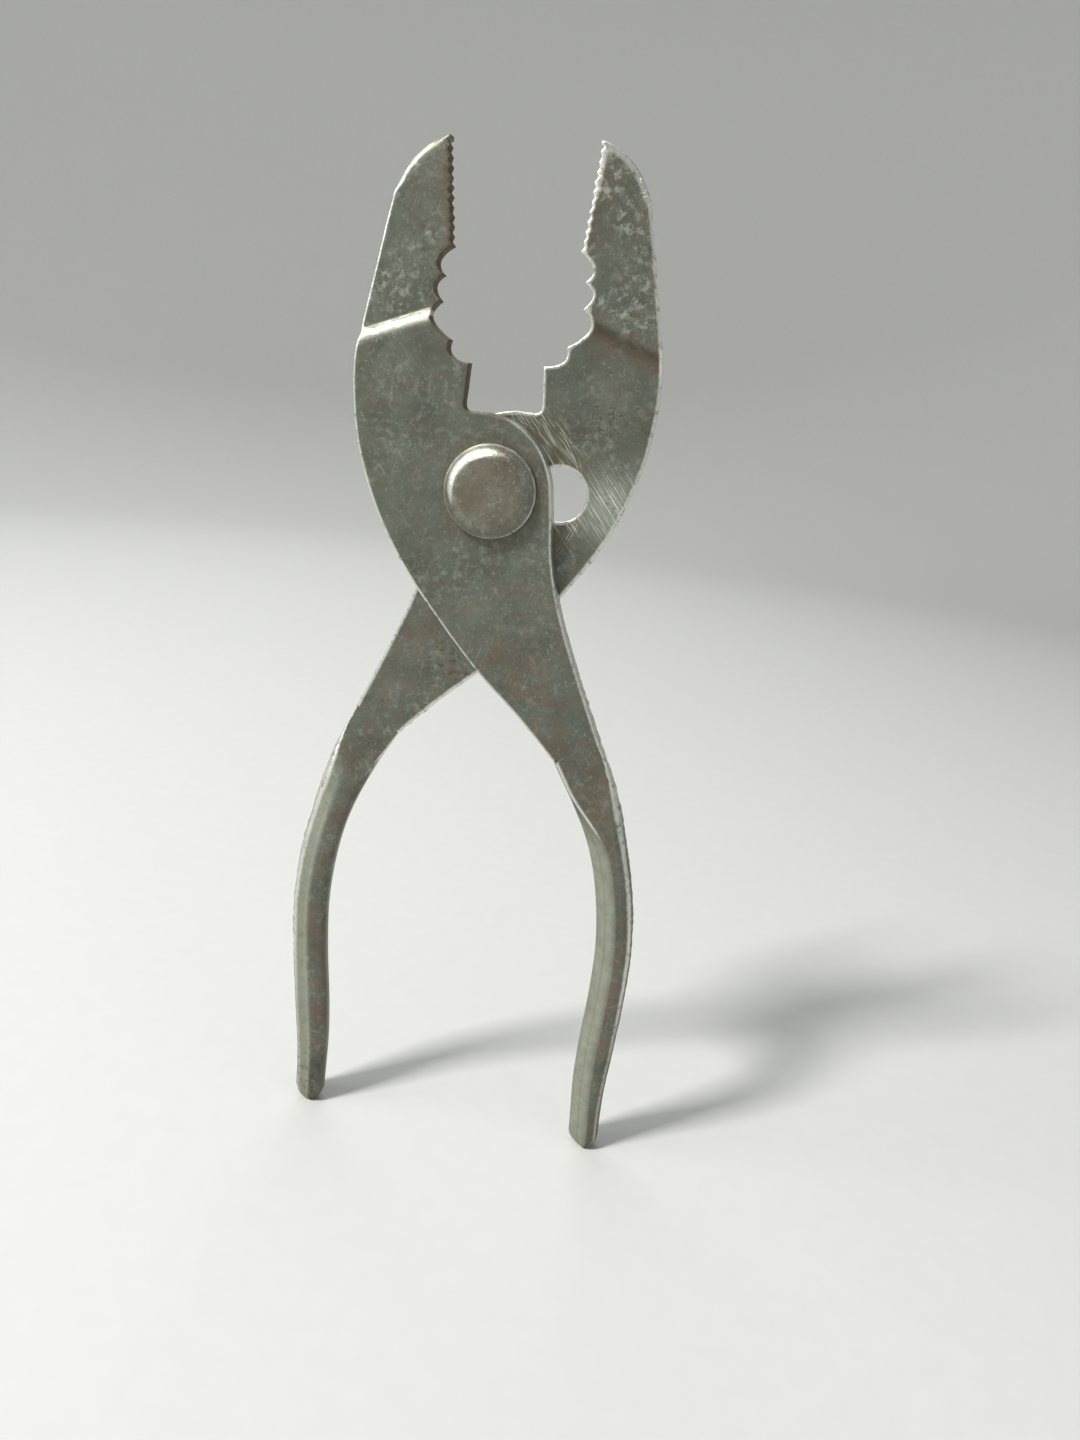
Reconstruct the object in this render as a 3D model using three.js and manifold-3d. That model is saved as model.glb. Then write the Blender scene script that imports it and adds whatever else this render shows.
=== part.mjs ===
// Six-inch slip-joint pliers stamped from sheet steel.
// Two levers cut from one blank, one of them turned over, are held by a pivot rivet.
// The rivet has two flats, so the back lever can slip along its slot between two seats.
// Millimetres, +Z up. The pliers stand on both handle ends, front towards -Y.
import * as THREE from 'three';
import { mergeVertices } from 'three/addons/utils/BufferGeometryUtils.js';
import Module from 'manifold-3d';

// ---------------------------------------------------------------- driving dimensions
const SHEET = 2.2;            // thickness of the sheet steel
const PLAY = 0.15;            // gap between the two levers at the joint
const FRONT_OPEN = 5.9;       // degrees the front lever stands open from the closed line
const BACK_OPEN = 5.2;        // degrees the back lever stands open from the closed line

// Every outline below is in the blank's own frame: x across, z up, the pivot at 0, 0.
const JAW_EDGE_X = -4.9;      // line that the jaw teeth stand on
const TIP_Z = 45.3;           // jaw tip above the pivot
const FINE_TEETH = 11;
const FINE_PITCH = 1.207;
const FINE_DEPTH = 0.42;
const FINE_ROOT = 0.45;       // share of the pitch at which a fine tooth's root lies
const JOG_CENTRE = [-12.78, 21.38]; // a point in the middle of the offset bend across the jaw
const JOG_SLOPE = 15;         // degrees that the bend rises towards the teeth
const JOG_LENGTH = 3.4;       // length of the bend along the jaw
const JOG_CREASE = 2.2;       // above 1 the bend starts gently below and stops sharply above
const JOG_STEPS = 8;

// Edge of the blank as [x, z], round from the jaw tip.
const JAW_NOSE = [[-5.9, 45.15], [-8.6, 43.95], [-11.0, 41.75], [-12.65, 39.0]];
const JAW_BACK = [[-14.05, 34.5], [-15.75, 29], [-17.8, 22.4]];
const INNER_EDGE = [
  [-18.9, 17], [-19.1, 11], [-18.5, 5], [-16.4, -2.8],
  [-12.9, -10.4], [-8, -18.1], [-2.3, -25.8], [3.6, -32.4],
];
const OUTER_EDGE_AND_EYE = [
  [12.9, -27.5], [10.1, -18], [8.7, -10], [8.6, -3], [8.3, 2.2], [6.5, 6.5], [3.5, 9.2], [0, 10.5],
];
const THROAT_FLOOR = [-2.6, 10.7];
const THROAT_BEND = [[-3.6, 10.8], [-3.5, 11.9]];
const THROAT_TOP = [-2.7, 17.0];
// Hollows of the pipe grip upwards: the point each curve is pulled towards, then its cusp.
const PIPE_GRIP = [
  [[-6.5, 17.6], [-5.3, 20.0]],
  [[-10.0, 23.25], [-6.7, 25.1]],
  [[-8.7, 27.25], [-6.25, 28.4]],
  [[-8.3, 30.2], [JAW_EDGE_X, TIP_Z - FINE_TEETH * FINE_PITCH]],
];

const SHANK_RADIUS = 3.75;    // rivet shank
const SHANK_FLATS = 5.3;      // across its two flats
const HOLE_CLEARANCE = 0.06;
const SEAT_RADIUS = 3.85;     // each round seat of the slot
const NECK_WIDTH = 5.5;       // slot between the two seats
const WIDE_SEAT = [1.2, -0.67];
const NARROW_SEAT = [-8.15, 0.63];

const HEAD_RADIUS = 6.55;
const HEAD_HEIGHT = 2.1;
// Head's crown as [radius, drop below its top], from the flat over the shoulder to the rim.
const HEAD_CROWN = [[0, 0], [4.6, 0.08], [5.4, 0.42], [6.1, 1.1], [HEAD_RADIUS, 1.7]];
const HEAD_UNDERCUT = 0.12;
const TAIL_RADIUS = 5.1;
const TAIL_HEIGHT = 1.0;
// Peened tail as [radius, height over the washer].
const TAIL_CROWN = [
  [TAIL_RADIUS - 0.1, 0], [TAIL_RADIUS, 0.15], [TAIL_RADIUS - 0.5, 0.7],
  [3.4, TAIL_HEIGHT - 0.05], [0, TAIL_HEIGHT],
];
const RIVET_PLAY = 0.05;      // gap under the head and over the washer
const WASHER_RADIUS = 6.6;
const WASHER_THICKNESS = 1.0;
const WASHER_GAP = 0.1;
const WASHER_ROUND = 0.2;

const HEAD_SEGMENTS = 56;
const TAIL_SEGMENTS = 48;
const OPENING_STEPS = 12;     // steps along each arc of the shank, its hole and the slot
const SHANK_ROOT = 0.3;       // how far the shank runs into the head and the tail

// Centre line of the handle bar, from the end of the flat plate to the rounded handle end.
const HANDLE_SPINE = [
  [12.35, -37.6], [14.9, -44], [16.9, -51.5], [18.2, -60], [18.4, -69],
  [17.4, -78], [15.9, -87], [14.7, -95], [14.0, -103.2],
];
const HANDLE_START_WIDTH = 7.4;
const HANDLE_MID_WIDTH = 5.7;
const HANDLE_END_WIDTH = 4.8;
const NARROWING_SHARE = 0.3;  // share of the handle over which it narrows to its mid width
const TAIL_SHARE = 0.75;      // share of the handle at which it starts to narrow to its end
const BAND_WIDTH = 2.7;       // sloping band that the rolled sheet leaves along the inner front
const BAND_DEPTH = 1.9;
const OUTER_ROUND = 1.6;
const INNER_ROUND = 1.2;
const BLANK_ROUND = 0.2;
const FORMING_LENGTH = 0.2;   // share of the handle over which the sheet rolls round
const HANDLE_RINGS = 44;
const END_SWING = 80;         // degrees of the round that closes the handle's end
const END_STEPS = 6;
const END_FLATTENING = 0.45;  // how much less the end's depth rounds than its width

const CURVE_STEPS = 6;
const THROUGH = 9;            // half the depth of a prism that passes right through a lever
const DEG = Math.PI / 180;

const steel = { color: 0x7d8480, roughness: 0.5, metalness: 1.0 };
const finishes = {
  front: new THREE.MeshStandardMaterial(steel),
  back: new THREE.MeshStandardMaterial({ ...steel, color: 0x777c74 }),
  rivet: new THREE.MeshStandardMaterial({ ...steel, color: 0x8d8b82, roughness: 0.42 }),
  washer: new THREE.MeshStandardMaterial({ ...steel, color: 0x84827a }),
};

// ---------------------------------------------------------------- solids
const wasm = await Module();
wasm.setup();

/** Turns a closed three.js geometry into a manifold solid. */
function toSolid(geometry) {
  const bare = geometry.index ? geometry.toNonIndexed() : geometry.clone();
  for (const name of Object.keys(bare.attributes)) {
    if (name !== 'position') bare.deleteAttribute(name);
  }
  const merged = mergeVertices(bare, 1e-4);
  const mesh = new wasm.Mesh({
    numProp: 3,
    vertProperties: new Float32Array(merged.attributes.position.array),
    triVerts: new Uint32Array(merged.index.array),
  });
  return new wasm.Manifold(mesh);
}

/** Turns a manifold solid back into a three.js geometry. */
function toGeometry(solid) {
  const mesh = solid.getMesh();
  const geometry = new THREE.BufferGeometry();
  geometry.setAttribute('position', new THREE.BufferAttribute(mesh.vertProperties, 3));
  geometry.setIndex(new THREE.BufferAttribute(mesh.triVerts, 1));
  return geometry;
}

/** Extrudes an outline drawn in x, z from y = front to y = back. */
function prism(shape, front, back, steps = CURVE_STEPS) {
  const options = { depth: back - front, bevelEnabled: false, curveSegments: steps };
  const geometry = new THREE.ExtrudeGeometry(shape, options);
  geometry.rotateX(Math.PI / 2);
  geometry.translate(0, back, 0);
  return toSolid(geometry);
}

/** Spins a profile of [radius, y] points around the Y axis. */
function turned(profile, segments) {
  const points = profile.map(([radius, y]) => new THREE.Vector2(radius, y));
  return toSolid(new THREE.LatheGeometry(points, segments));
}

// ---------------------------------------------------------------- handle centre line
const spine = new THREE.SplineCurve(HANDLE_SPINE.map(([x, z]) => new THREE.Vector2(x, z)));

/** Middle, across direction and width of the handle bar at a share t of its length. */
function station(t) {
  const middle = spine.getPointAt(t);
  const along = spine.getTangentAt(t);
  const across = new THREE.Vector2(-along.y, along.x);
  const narrowing = THREE.MathUtils.smoothstep(t, 0, NARROWING_SHARE);
  const tail = THREE.MathUtils.smoothstep(t, TAIL_SHARE, 1);
  let width = THREE.MathUtils.lerp(HANDLE_START_WIDTH, HANDLE_MID_WIDTH, narrowing);
  width = THREE.MathUtils.lerp(width, HANDLE_END_WIDTH, tail);
  return { middle, along, across, width };
}

/** Point of the handle edge: side is 1 on the outer edge and -1 on the inner edge. */
function handleEdge(t, side, extra = 0) {
  const { middle, along, across, width } = station(t);
  return middle.clone().addScaledVector(across, side * width / 2).addScaledVector(along, extra);
}

// ---------------------------------------------------------------- blank outline
/** Smooth curve from the pen's place through points given as [x, z]. */
function drawThrough(shape, points) {
  shape.splineThru(points.map(([x, z]) => new THREE.Vector2(x, z)));
}

/** Nose and back of the jaw, then the inner edge down to the handle. */
function drawJawBack(shape) {
  const inner = handleEdge(0, -1);
  drawThrough(shape, JAW_NOSE);
  drawThrough(shape, JAW_BACK);
  drawThrough(shape, [...INNER_EDGE, [inner.x, inner.y]]);
}

/** Throat beside the joint, then the pipe grip's hollows. */
function drawThroatAndPipeGrip(shape) {
  const [pull, end] = THROAT_BEND;
  shape.lineTo(...THROAT_FLOOR);
  shape.quadraticCurveTo(...pull, ...end);
  shape.lineTo(...THROAT_TOP);
  for (const [hollow, cusp] of PIPE_GRIP) {
    shape.quadraticCurveTo(...hollow, ...cusp);
  }
}

/** Fine cross-cut teeth up to the jaw tip. */
function drawFineTeeth(shape) {
  const bottom = TIP_Z - FINE_TEETH * FINE_PITCH;
  for (let i = 0; i < FINE_TEETH; i += 1) {
    shape.lineTo(JAW_EDGE_X - FINE_DEPTH, bottom + (i + FINE_ROOT) * FINE_PITCH);
    shape.lineTo(JAW_EDGE_X, bottom + (i + 1) * FINE_PITCH);
  }
}

function blankOutline() {
  const shape = new THREE.Shape();
  const overlap = 2;
  shape.moveTo(JAW_EDGE_X, TIP_Z);
  drawJawBack(shape);
  const innerEnd = handleEdge(0, -1, overlap);
  const outerEnd = handleEdge(0, 1, overlap);
  const outerStart = handleEdge(0, 1);
  shape.lineTo(innerEnd.x, innerEnd.y);
  shape.lineTo(outerEnd.x, outerEnd.y);
  shape.lineTo(outerStart.x, outerStart.y);
  drawThrough(shape, OUTER_EDGE_AND_EYE);
  drawThroatAndPipeGrip(shape);
  drawFineTeeth(shape);
  return shape;
}

// ---------------------------------------------------------------- lever
/** Sheet seen edge-on: flat plate, short offset bend, then the jaw half a sheet further back. */
function bentSheet() {
  const reach = 160;
  const offsetJaw = (SHEET + PLAY) / 2;
  const face = (offset) => {
    const points = [new THREE.Vector2(-reach, offset)];
    for (let i = 0; i <= JOG_STEPS; i += 1) {
      const t = i / JOG_STEPS;
      const rise = offsetJaw * (1 - Math.cos(Math.PI * t ** JOG_CREASE)) / 2;
      points.push(new THREE.Vector2((t - 0.5) * JOG_LENGTH, offset + rise));
    }
    points.push(new THREE.Vector2(reach, offset + offsetJaw));
    return points;
  };
  const front = face(-SHEET - PLAY / 2);
  const back = face(-PLAY / 2).reverse();
  const shape = new THREE.Shape([...front, ...back]);
  const geometry = new THREE.ExtrudeGeometry(shape, { depth: 2 * reach, bevelEnabled: false });
  geometry.translate(0, 0, -reach);
  const slope = JOG_SLOPE * DEG;
  const upJaw = new THREE.Vector3(-Math.sin(slope), 0, Math.cos(slope));
  const backward = new THREE.Vector3(0, 1, 0);
  const basis = new THREE.Matrix4().makeBasis(upJaw, backward, upJaw.clone().cross(backward));
  basis.setPosition(JOG_CENTRE[0], 0, JOG_CENTRE[1]);
  geometry.applyMatrix4(basis);
  return toSolid(geometry);
}

/** Points of a quarter round, from angle a to a + 90 degrees. */
function corner(cx, cy, radius, a, count = 4) {
  const points = [];
  for (let i = 0; i <= count; i += 1) {
    const angle = (a + 90 * i / count) * DEG;
    points.push([cx + radius * Math.cos(angle), cy + radius * Math.sin(angle)]);
  }
  return points;
}

/** Section of the rolled bar as [across, y]; outer edge at +across, front at -y. */
function rolledSection(width, half) {
  const w = width / 2;
  return [
    [-w + BAND_WIDTH, -half],
    ...corner(w - OUTER_ROUND, -half + OUTER_ROUND, OUTER_ROUND, -90),
    ...corner(w - OUTER_ROUND, half - OUTER_ROUND, OUTER_ROUND, 0),
    ...corner(-w + INNER_ROUND, half - INNER_ROUND, INNER_ROUND, 90),
    [-w, -half + BAND_DEPTH + BLANK_ROUND],
    [-w + BLANK_ROUND, -half + BAND_DEPTH - BLANK_ROUND],
    [-w + BAND_WIDTH / 2, -half + BAND_DEPTH * 0.42],
  ];
}

/** The same points laid out round the flat sheet, so the two sections can be blended. */
function flatSection(width, front, back) {
  const w = width / 2;
  const r = BLANK_ROUND;
  return [
    [-w + BAND_WIDTH, front],
    ...corner(w - r, front + r, r, -90),
    ...corner(w - r, back - r, r, 0),
    ...corner(-w + r, back - r, r, 90),
    [-w, front + r],
    [-w + r, front],
    [-w + BAND_WIDTH / 2, front],
  ];
}

/** Handle bar: rings of section points swept down the centre line, with a rounded end. */
function handleBar() {
  const inset = 0.03;
  const half = SHEET + PLAY / 2;
  const endRadius = HANDLE_END_WIDTH / 2;
  const rings = [];
  for (let i = 0; i <= HANDLE_RINGS + END_STEPS; i += 1) {
    const overrun = Math.max(0, i - HANDLE_RINGS) / END_STEPS;
    const swing = overrun * END_SWING * DEG;
    const t = Math.min(i / HANDLE_RINGS, 1);
    const { middle, along, across, width } = station(t);
    const shrink = Math.cos(swing);
    const forward = endRadius * Math.sin(swing);
    const formed = THREE.MathUtils.smoothstep(t, 0.01, FORMING_LENGTH);
    const rolled = rolledSection(width, half);
    const flat = flatSection(width - 2 * inset, -half + inset, -PLAY / 2 - inset);
    rings.push(rolled.map(([a, y], k) => {
      const s = THREE.MathUtils.lerp(flat[k][0], a, formed) * shrink;
      const rounding = 1 - END_FLATTENING * (1 - shrink);
      const depth = THREE.MathUtils.lerp(flat[k][1], y, formed) * rounding;
      const place = middle.clone().addScaledVector(across, s).addScaledVector(along, forward);
      return [place.x, depth, place.y];
    }));
  }
  return toSolid(sweep(rings));
}

/** Closed skin over a row of rings, capped by a fan at each end. */
function sweep(rings) {
  const count = rings[0].length;
  const positions = rings.flat(2);
  const index = [];
  for (let r = 0; r + 1 < rings.length; r += 1) {
    for (let k = 0; k < count; k += 1) {
      const a = r * count + k;
      const b = r * count + (k + 1) % count;
      index.push(a, a + count, b, b, a + count, b + count);
    }
  }
  for (const [ring, flip] of [[0, false], [rings.length - 1, true]]) {
    const centre = positions.length / 3;
    const sum = [0, 0, 0];
    rings[ring].forEach((p) => p.forEach((v, i) => { sum[i] += v / count; }));
    positions.push(...sum);
    for (let k = 0; k < count; k += 1) {
      const a = ring * count + k;
      const b = ring * count + (k + 1) % count;
      index.push(...(flip ? [centre, b, a] : [centre, a, b]));
    }
  }
  const geometry = new THREE.BufferGeometry();
  geometry.setAttribute('position', new THREE.Float32BufferAttribute(positions, 3));
  geometry.setIndex(index);
  return geometry;
}

/** Cutter for an opening right through the lever. */
function throughCut(outline) {
  return prism(outline, -THROUGH, THROUGH, OPENING_STEPS);
}

/** One lever in the blank's frame, with its opening for the rivet cut out. */
function leverSolid(opening) {
  const plate = prism(blankOutline(), -THROUGH, THROUGH).intersect(bentSheet());
  return plate.add(handleBar()).subtract(opening);
}

// ---------------------------------------------------------------- joint
/** Round with two flats, in x, z: the flats run along x before it is turned by angle. */
function shankOutline(radius, acrossFlats, angle) {
  const reach = Math.asin(acrossFlats / 2 / radius);
  const shape = new THREE.Shape();
  shape.absarc(0, 0, radius, angle - reach, angle + reach, false);
  shape.absarc(0, 0, radius, angle + Math.PI - reach, angle + Math.PI + reach, false);
  return shape;
}

/** Two round seats joined by a narrower neck. */
function slotOutline() {
  const [x0, z0] = WIDE_SEAT;
  const [x1, z1] = NARROW_SEAT;
  const angle = Math.atan2(z1 - z0, x1 - x0);
  const lip = Math.asin(NECK_WIDTH / 2 / SEAT_RADIUS);
  const shape = new THREE.Shape();
  shape.absarc(x0, z0, SEAT_RADIUS, angle + lip, angle + 2 * Math.PI - lip, false);
  shape.absarc(x1, z1, SEAT_RADIUS, angle + Math.PI + lip, angle + 3 * Math.PI - lip, false);
  return shape;
}

/** Direction of the slot as it stands in the rest pose, from the wide to the narrow seat. */
function slotAngleAtRest() {
  const flipped = Math.atan2(NARROW_SEAT[1] - WIDE_SEAT[1], WIDE_SEAT[0] - NARROW_SEAT[0]);
  return flipped - BACK_OPEN * DEG;
}

/** Rivet: flat-topped domed head in front, shank with two flats, peened tail behind. */
function rivetSolid() {
  const headBase = -SHEET - PLAY / 2 - RIVET_PLAY;
  const top = headBase - HEAD_HEIGHT;
  const head = turned([
    ...HEAD_CROWN.map(([radius, drop]) => [radius, top + drop]),
    [HEAD_RADIUS, headBase - HEAD_UNDERCUT],
    [HEAD_RADIUS - HEAD_UNDERCUT, headBase],
    [0, headBase],
  ], HEAD_SEGMENTS);
  const tailBase = SHEET + PLAY / 2 + WASHER_GAP + WASHER_THICKNESS + RIVET_PLAY;
  const tail = turned([
    [0, tailBase],
    ...TAIL_CROWN.map(([radius, height]) => [radius, tailBase + height]),
  ], TAIL_SEGMENTS);
  const outline = shankOutline(SHANK_RADIUS, SHANK_FLATS, slotAngleAtRest());
  const shank = prism(outline, headBase - SHANK_ROOT, tailBase + SHANK_ROOT, OPENING_STEPS);
  return shank.add(head).add(tail);
}

/** Washer between the back lever and the rivet's tail. */
function washerSolid() {
  const front = SHEET + PLAY / 2 + WASHER_GAP;
  const back = front + WASHER_THICKNESS;
  const bore = SHANK_RADIUS + HOLE_CLEARANCE;
  return turned([
    [bore, front],
    [WASHER_RADIUS, front],
    [WASHER_RADIUS, back - WASHER_ROUND],
    [WASHER_RADIUS - WASHER_ROUND, back],
    [bore, back],
    [bore, front],
  ], TAIL_SEGMENTS);
}

// ---------------------------------------------------------------- assembly
/** A named mesh from a solid. */
function piece(name, solid, material) {
  const mesh = new THREE.Mesh(toGeometry(solid), material);
  mesh.name = name;
  return mesh;
}

function frontLever() {
  const hole = shankOutline(
    SHANK_RADIUS + HOLE_CLEARANCE,
    SHANK_FLATS + 2 * HOLE_CLEARANCE,
    slotAngleAtRest() - FRONT_OPEN * DEG,
  );
  const mesh = piece('front_lever', leverSolid(throughCut(hole)), finishes.front);
  mesh.rotation.y = -FRONT_OPEN * DEG;
  return mesh;
}

/** The same blank turned over about Z and set so its wide seat lies on the rivet. */
function backLever() {
  const solid = leverSolid(throughCut(slotOutline()));
  const mesh = piece('back_lever', solid, finishes.back);
  mesh.rotation.set(0, BACK_OPEN * DEG, Math.PI, 'YXZ');
  const seat = new THREE.Vector3(WIDE_SEAT[0], 0, WIDE_SEAT[1]).applyEuler(mesh.rotation);
  mesh.position.copy(seat.negate());
  return mesh;
}

/** Turns the open pliers until both handle ends stand at one height. */
function levelOnHandles(assembly, levers) {
  const end = HANDLE_SPINE[HANDLE_SPINE.length - 1];
  const feet = levers.map((lever) => {
    lever.updateMatrix();
    return new THREE.Vector3(end[0], 0, end[1]).applyMatrix4(lever.matrix);
  });
  const line = feet[0].clone().sub(feet[1]);
  assembly.rotation.y = Math.atan2(line.z, line.x);
}

function buildPliers() {
  const assembly = new THREE.Group();
  const front = frontLever();
  const back = backLever();
  assembly.add(front);
  assembly.add(back);
  assembly.add(piece('pivot_rivet', rivetSolid(), finishes.rivet));
  assembly.add(piece('rear_washer', washerSolid(), finishes.washer));
  levelOnHandles(assembly, [front, back]);

  const pliers = new THREE.Group();
  pliers.add(assembly);
  const box = new THREE.Box3().setFromObject(pliers, true);
  const centre = box.getCenter(new THREE.Vector3());
  assembly.position.set(-centre.x, -centre.y, -box.min.z);
  return pliers;
}

export default buildPliers();
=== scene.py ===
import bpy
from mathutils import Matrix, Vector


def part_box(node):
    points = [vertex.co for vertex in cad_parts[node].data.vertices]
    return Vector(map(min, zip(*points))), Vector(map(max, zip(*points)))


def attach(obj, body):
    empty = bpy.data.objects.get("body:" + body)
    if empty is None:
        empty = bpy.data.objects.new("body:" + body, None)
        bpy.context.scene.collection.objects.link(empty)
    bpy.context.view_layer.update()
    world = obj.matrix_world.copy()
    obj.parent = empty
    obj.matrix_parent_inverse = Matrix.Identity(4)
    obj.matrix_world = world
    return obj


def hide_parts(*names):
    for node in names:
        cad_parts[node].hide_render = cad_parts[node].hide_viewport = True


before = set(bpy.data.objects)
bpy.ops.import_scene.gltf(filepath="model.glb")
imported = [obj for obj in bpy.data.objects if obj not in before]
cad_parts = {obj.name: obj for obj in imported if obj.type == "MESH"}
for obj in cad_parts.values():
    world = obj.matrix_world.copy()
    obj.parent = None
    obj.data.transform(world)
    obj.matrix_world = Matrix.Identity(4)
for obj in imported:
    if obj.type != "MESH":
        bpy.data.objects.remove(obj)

"""Stamped-steel slip-joint pliers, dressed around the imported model.

Two levers from one blank, a pivot rivet and a washer. Shapes are drawn in millimetres in the
blank's own frame (x across, z up, the pivot at 0, 0) and stood in the row frame in metres.
"""

import logging
import math
import random
from dataclasses import dataclass, field
from enum import Enum

import bmesh
import bpy
import numpy as np
from mathutils import Matrix, Vector, noise
from mathutils.geometry import delaunay_2d_cdt

MM = 0.001
FLAT_WEIGHT = 60          # how strongly large flat faces keep their own normals
CHUNK = 4000              # points measured against a line at one time
CUT_BOW = 0.12            # mm that the joint between plate and handle is bowed outwards
CAP_CLEARANCE = 0.24      # mm from an edge to the nearest point inside a face
END_SWING = 84            # degrees that the handle's end is rounded over
NOISE_ROUGHNESS = 0.6     # share of fine detail in every noise
log = logging.getLogger("pliers")

Socket = bpy.types.NodeSocket
Masks = dict[str, Socket]


@dataclass(frozen=True)
class Edge:
    """Section of a sheared edge in mm: front round, its depth, back round, burr, point spacing."""

    inset: float
    drop: float
    back: float
    burr: float
    spacing: float


class EdgeKind(Enum):
    """Stretches of the blank's edge."""

    EYE = Edge(0.36, 0.36, 0.12, 0.12, 0.45)
    THROAT = Edge(0.24, 0.24, 0.26, 0.08, 0.30)
    GRIP = Edge(0.17, 0.17, 0.20, 0.06, 0.28)
    TEETH = Edge(0.13, 0.13, 0.22, 0.04, 0.18)
    TIP = Edge(1.05, 0.80, 0.20, 0.10, 0.40)
    BACK = Edge(0.40, 0.40, 0.12, 0.14, 0.45)
    WAIST = Edge(0.38, 0.38, 0.12, 0.16, 0.50)
    OPENING = Edge(0.28, 0.28, 0.14, 0.0, 0.40)


class Side(Enum):
    """Which way up the blank lies."""

    FRONT = "front"
    TURNED_OVER = "turned over"


@dataclass
class Blank:
    """Driving dimensions of the stamped blank, the joint and the rolled handle, in mm."""

    sheet: float = 2.2
    play: float = 0.15
    front_open: float = 5.9
    back_open: float = 5.2
    jaw_edge: float = -4.9
    tip_height: float = 45.3
    fine_teeth: int = 11
    fine_pitch: float = 1.207
    fine_depth: float = 0.42
    tip_land: float = 0.38
    jog_centre: tuple[float, float] = (-12.78, 21.38)
    jog_slope: float = 15.0
    jog_length: float = 3.4
    jog_crease: float = 2.2
    shank_radius: float = 3.75
    shank_flats: float = 5.3
    clearance: float = 0.06
    seat_radius: float = 3.85
    neck_width: float = 5.5
    wide_seat: tuple[float, float] = (1.2, -0.67)
    narrow_seat: tuple[float, float] = (-8.15, 0.63)
    handle_spine: tuple[tuple[float, float], ...] = (
        (12.35, -37.6), (14.9, -44.0), (16.9, -51.5), (18.2, -60.0), (18.4, -69.0),
        (17.4, -78.0), (15.9, -87.0), (14.7, -95.0), (14.0, -103.2),
    )
    start_width: float = 7.4
    mid_width: float = 5.7
    end_width: float = 4.8
    narrowing_share: float = 0.3
    tail_share: float = 0.75
    band_width: float = 2.7
    band_depth: float = 1.9
    outer_round: float = 1.6
    inner_round: float = 1.2
    forming_share: float = 0.2
    throat: tuple[tuple[float, float], ...] = (
        (-2.6, 10.7), (-3.6, 10.8), (-3.5, 11.9), (-2.7, 17.0),
    )
    pipe_grip: tuple[tuple[tuple[float, float], tuple[float, float]], ...] = (
        ((-6.5, 17.6), (-5.3, 20.0)), ((-10.0, 23.25), (-6.7, 25.1)),
        ((-8.7, 27.25), (-6.25, 28.4)), ((-8.3, 30.2), (-4.9, 32.02)),
    )
    eye_edge: tuple[tuple[float, float], ...] = (
        (12.9, -27.5), (10.1, -18), (8.7, -10), (8.6, -3), (8.3, 2.2), (6.5, 6.5), (3.5, 9.2),
        (0, 10.5),
    )
    nose: tuple[tuple[float, float], ...] = (
        (-5.9, 45.15), (-8.6, 43.95), (-11.0, 41.75), (-12.65, 39.0),
    )
    jaw_back: tuple[tuple[float, float], ...] = ((-14.05, 34.5), (-15.75, 29.0), (-17.8, 22.4))
    inner_edge: tuple[tuple[float, float], ...] = (
        (-18.9, 17), (-19.1, 11), (-18.5, 5), (-16.4, -2.8), (-12.9, -10.4), (-8, -18.1),
        (-2.3, -25.8), (3.6, -32.4),
    )

    @property
    def half_depth(self) -> float:
        """Half the depth of the rolled bar."""
        return self.sheet + self.play / 2

    @property
    def jaw_offset(self) -> float:
        """How far the jaw stands back from the plate, so that both jaws meet in one line."""
        return (self.sheet + self.play) / 2

    @property
    def teeth_foot(self) -> float:
        """Height at which the fine teeth end and the pipe grip begins."""
        return self.tip_height - self.fine_teeth * self.fine_pitch


def stand(name: str, mesh: bpy.types.Mesh) -> bpy.types.Object:
    """Link a smooth-shaded piece whose flat faces keep their own normals."""
    piece = bpy.data.objects.new(name, mesh)
    bpy.context.scene.collection.objects.link(piece)
    mesh.shade_smooth()
    flats = piece.modifiers.new("flat faces", "WEIGHTED_NORMAL")
    flats.weight = FLAT_WEIGHT
    return piece


def paint(mesh: bpy.types.Mesh, masks: dict[str, np.ndarray]) -> None:
    """Store the wear masks, painted highlight and painted shade among them, on a mesh, one number for
    each vertex, for its finish to read.
    """
    for title, values in masks.items():
        layer = mesh.attributes.new(title, "FLOAT", "POINT")
        layer.data.foreach_set("value", values.astype(np.float32))


def smoothstep(value: float, low: float, high: float) -> float:
    """Ease from 0 at low to 1 at high."""
    t = min(max((value - low) / (high - low), 0.0), 1.0)
    return t * t * (3 - 2 * t)


def turn_about_y(points: np.ndarray, degrees: float) -> np.ndarray:
    """Turn points about the Y axis by the right-hand rule."""
    a = math.radians(degrees)
    c, s = math.cos(a), math.sin(a)
    x, y, z = points[..., 0], points[..., 1], points[..., 2]
    return np.stack([c * x + s * z, y, -s * x + c * z], axis=-1)


def catmull_rom(points: list[tuple[float, float]], steps: int = 24) -> np.ndarray:
    """Smooth curve through the points, end points held.

    Args:
        points: the places that the curve passes through.
        steps: samples for each stretch between two points.

    Returns:
        The samples, the first point included.
    """
    p = np.array(points, float)
    out = [p[0]]
    for i in range(len(p) - 1):
        before, here, there = p[max(i - 1, 0)], p[i], p[i + 1]
        after = p[min(i + 2, len(p) - 1)]
        leave, reach = (there - before) / 2, (after - here) / 2
        for k in range(1, steps + 1):
            t = k / steps
            cubic = (2 * here - 2 * there + leave + reach) * t ** 3
            square = (-3 * here + 3 * there - 2 * leave - reach) * t ** 2
            out.append(cubic + square + leave * t + here)
    return np.array(out)


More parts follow.
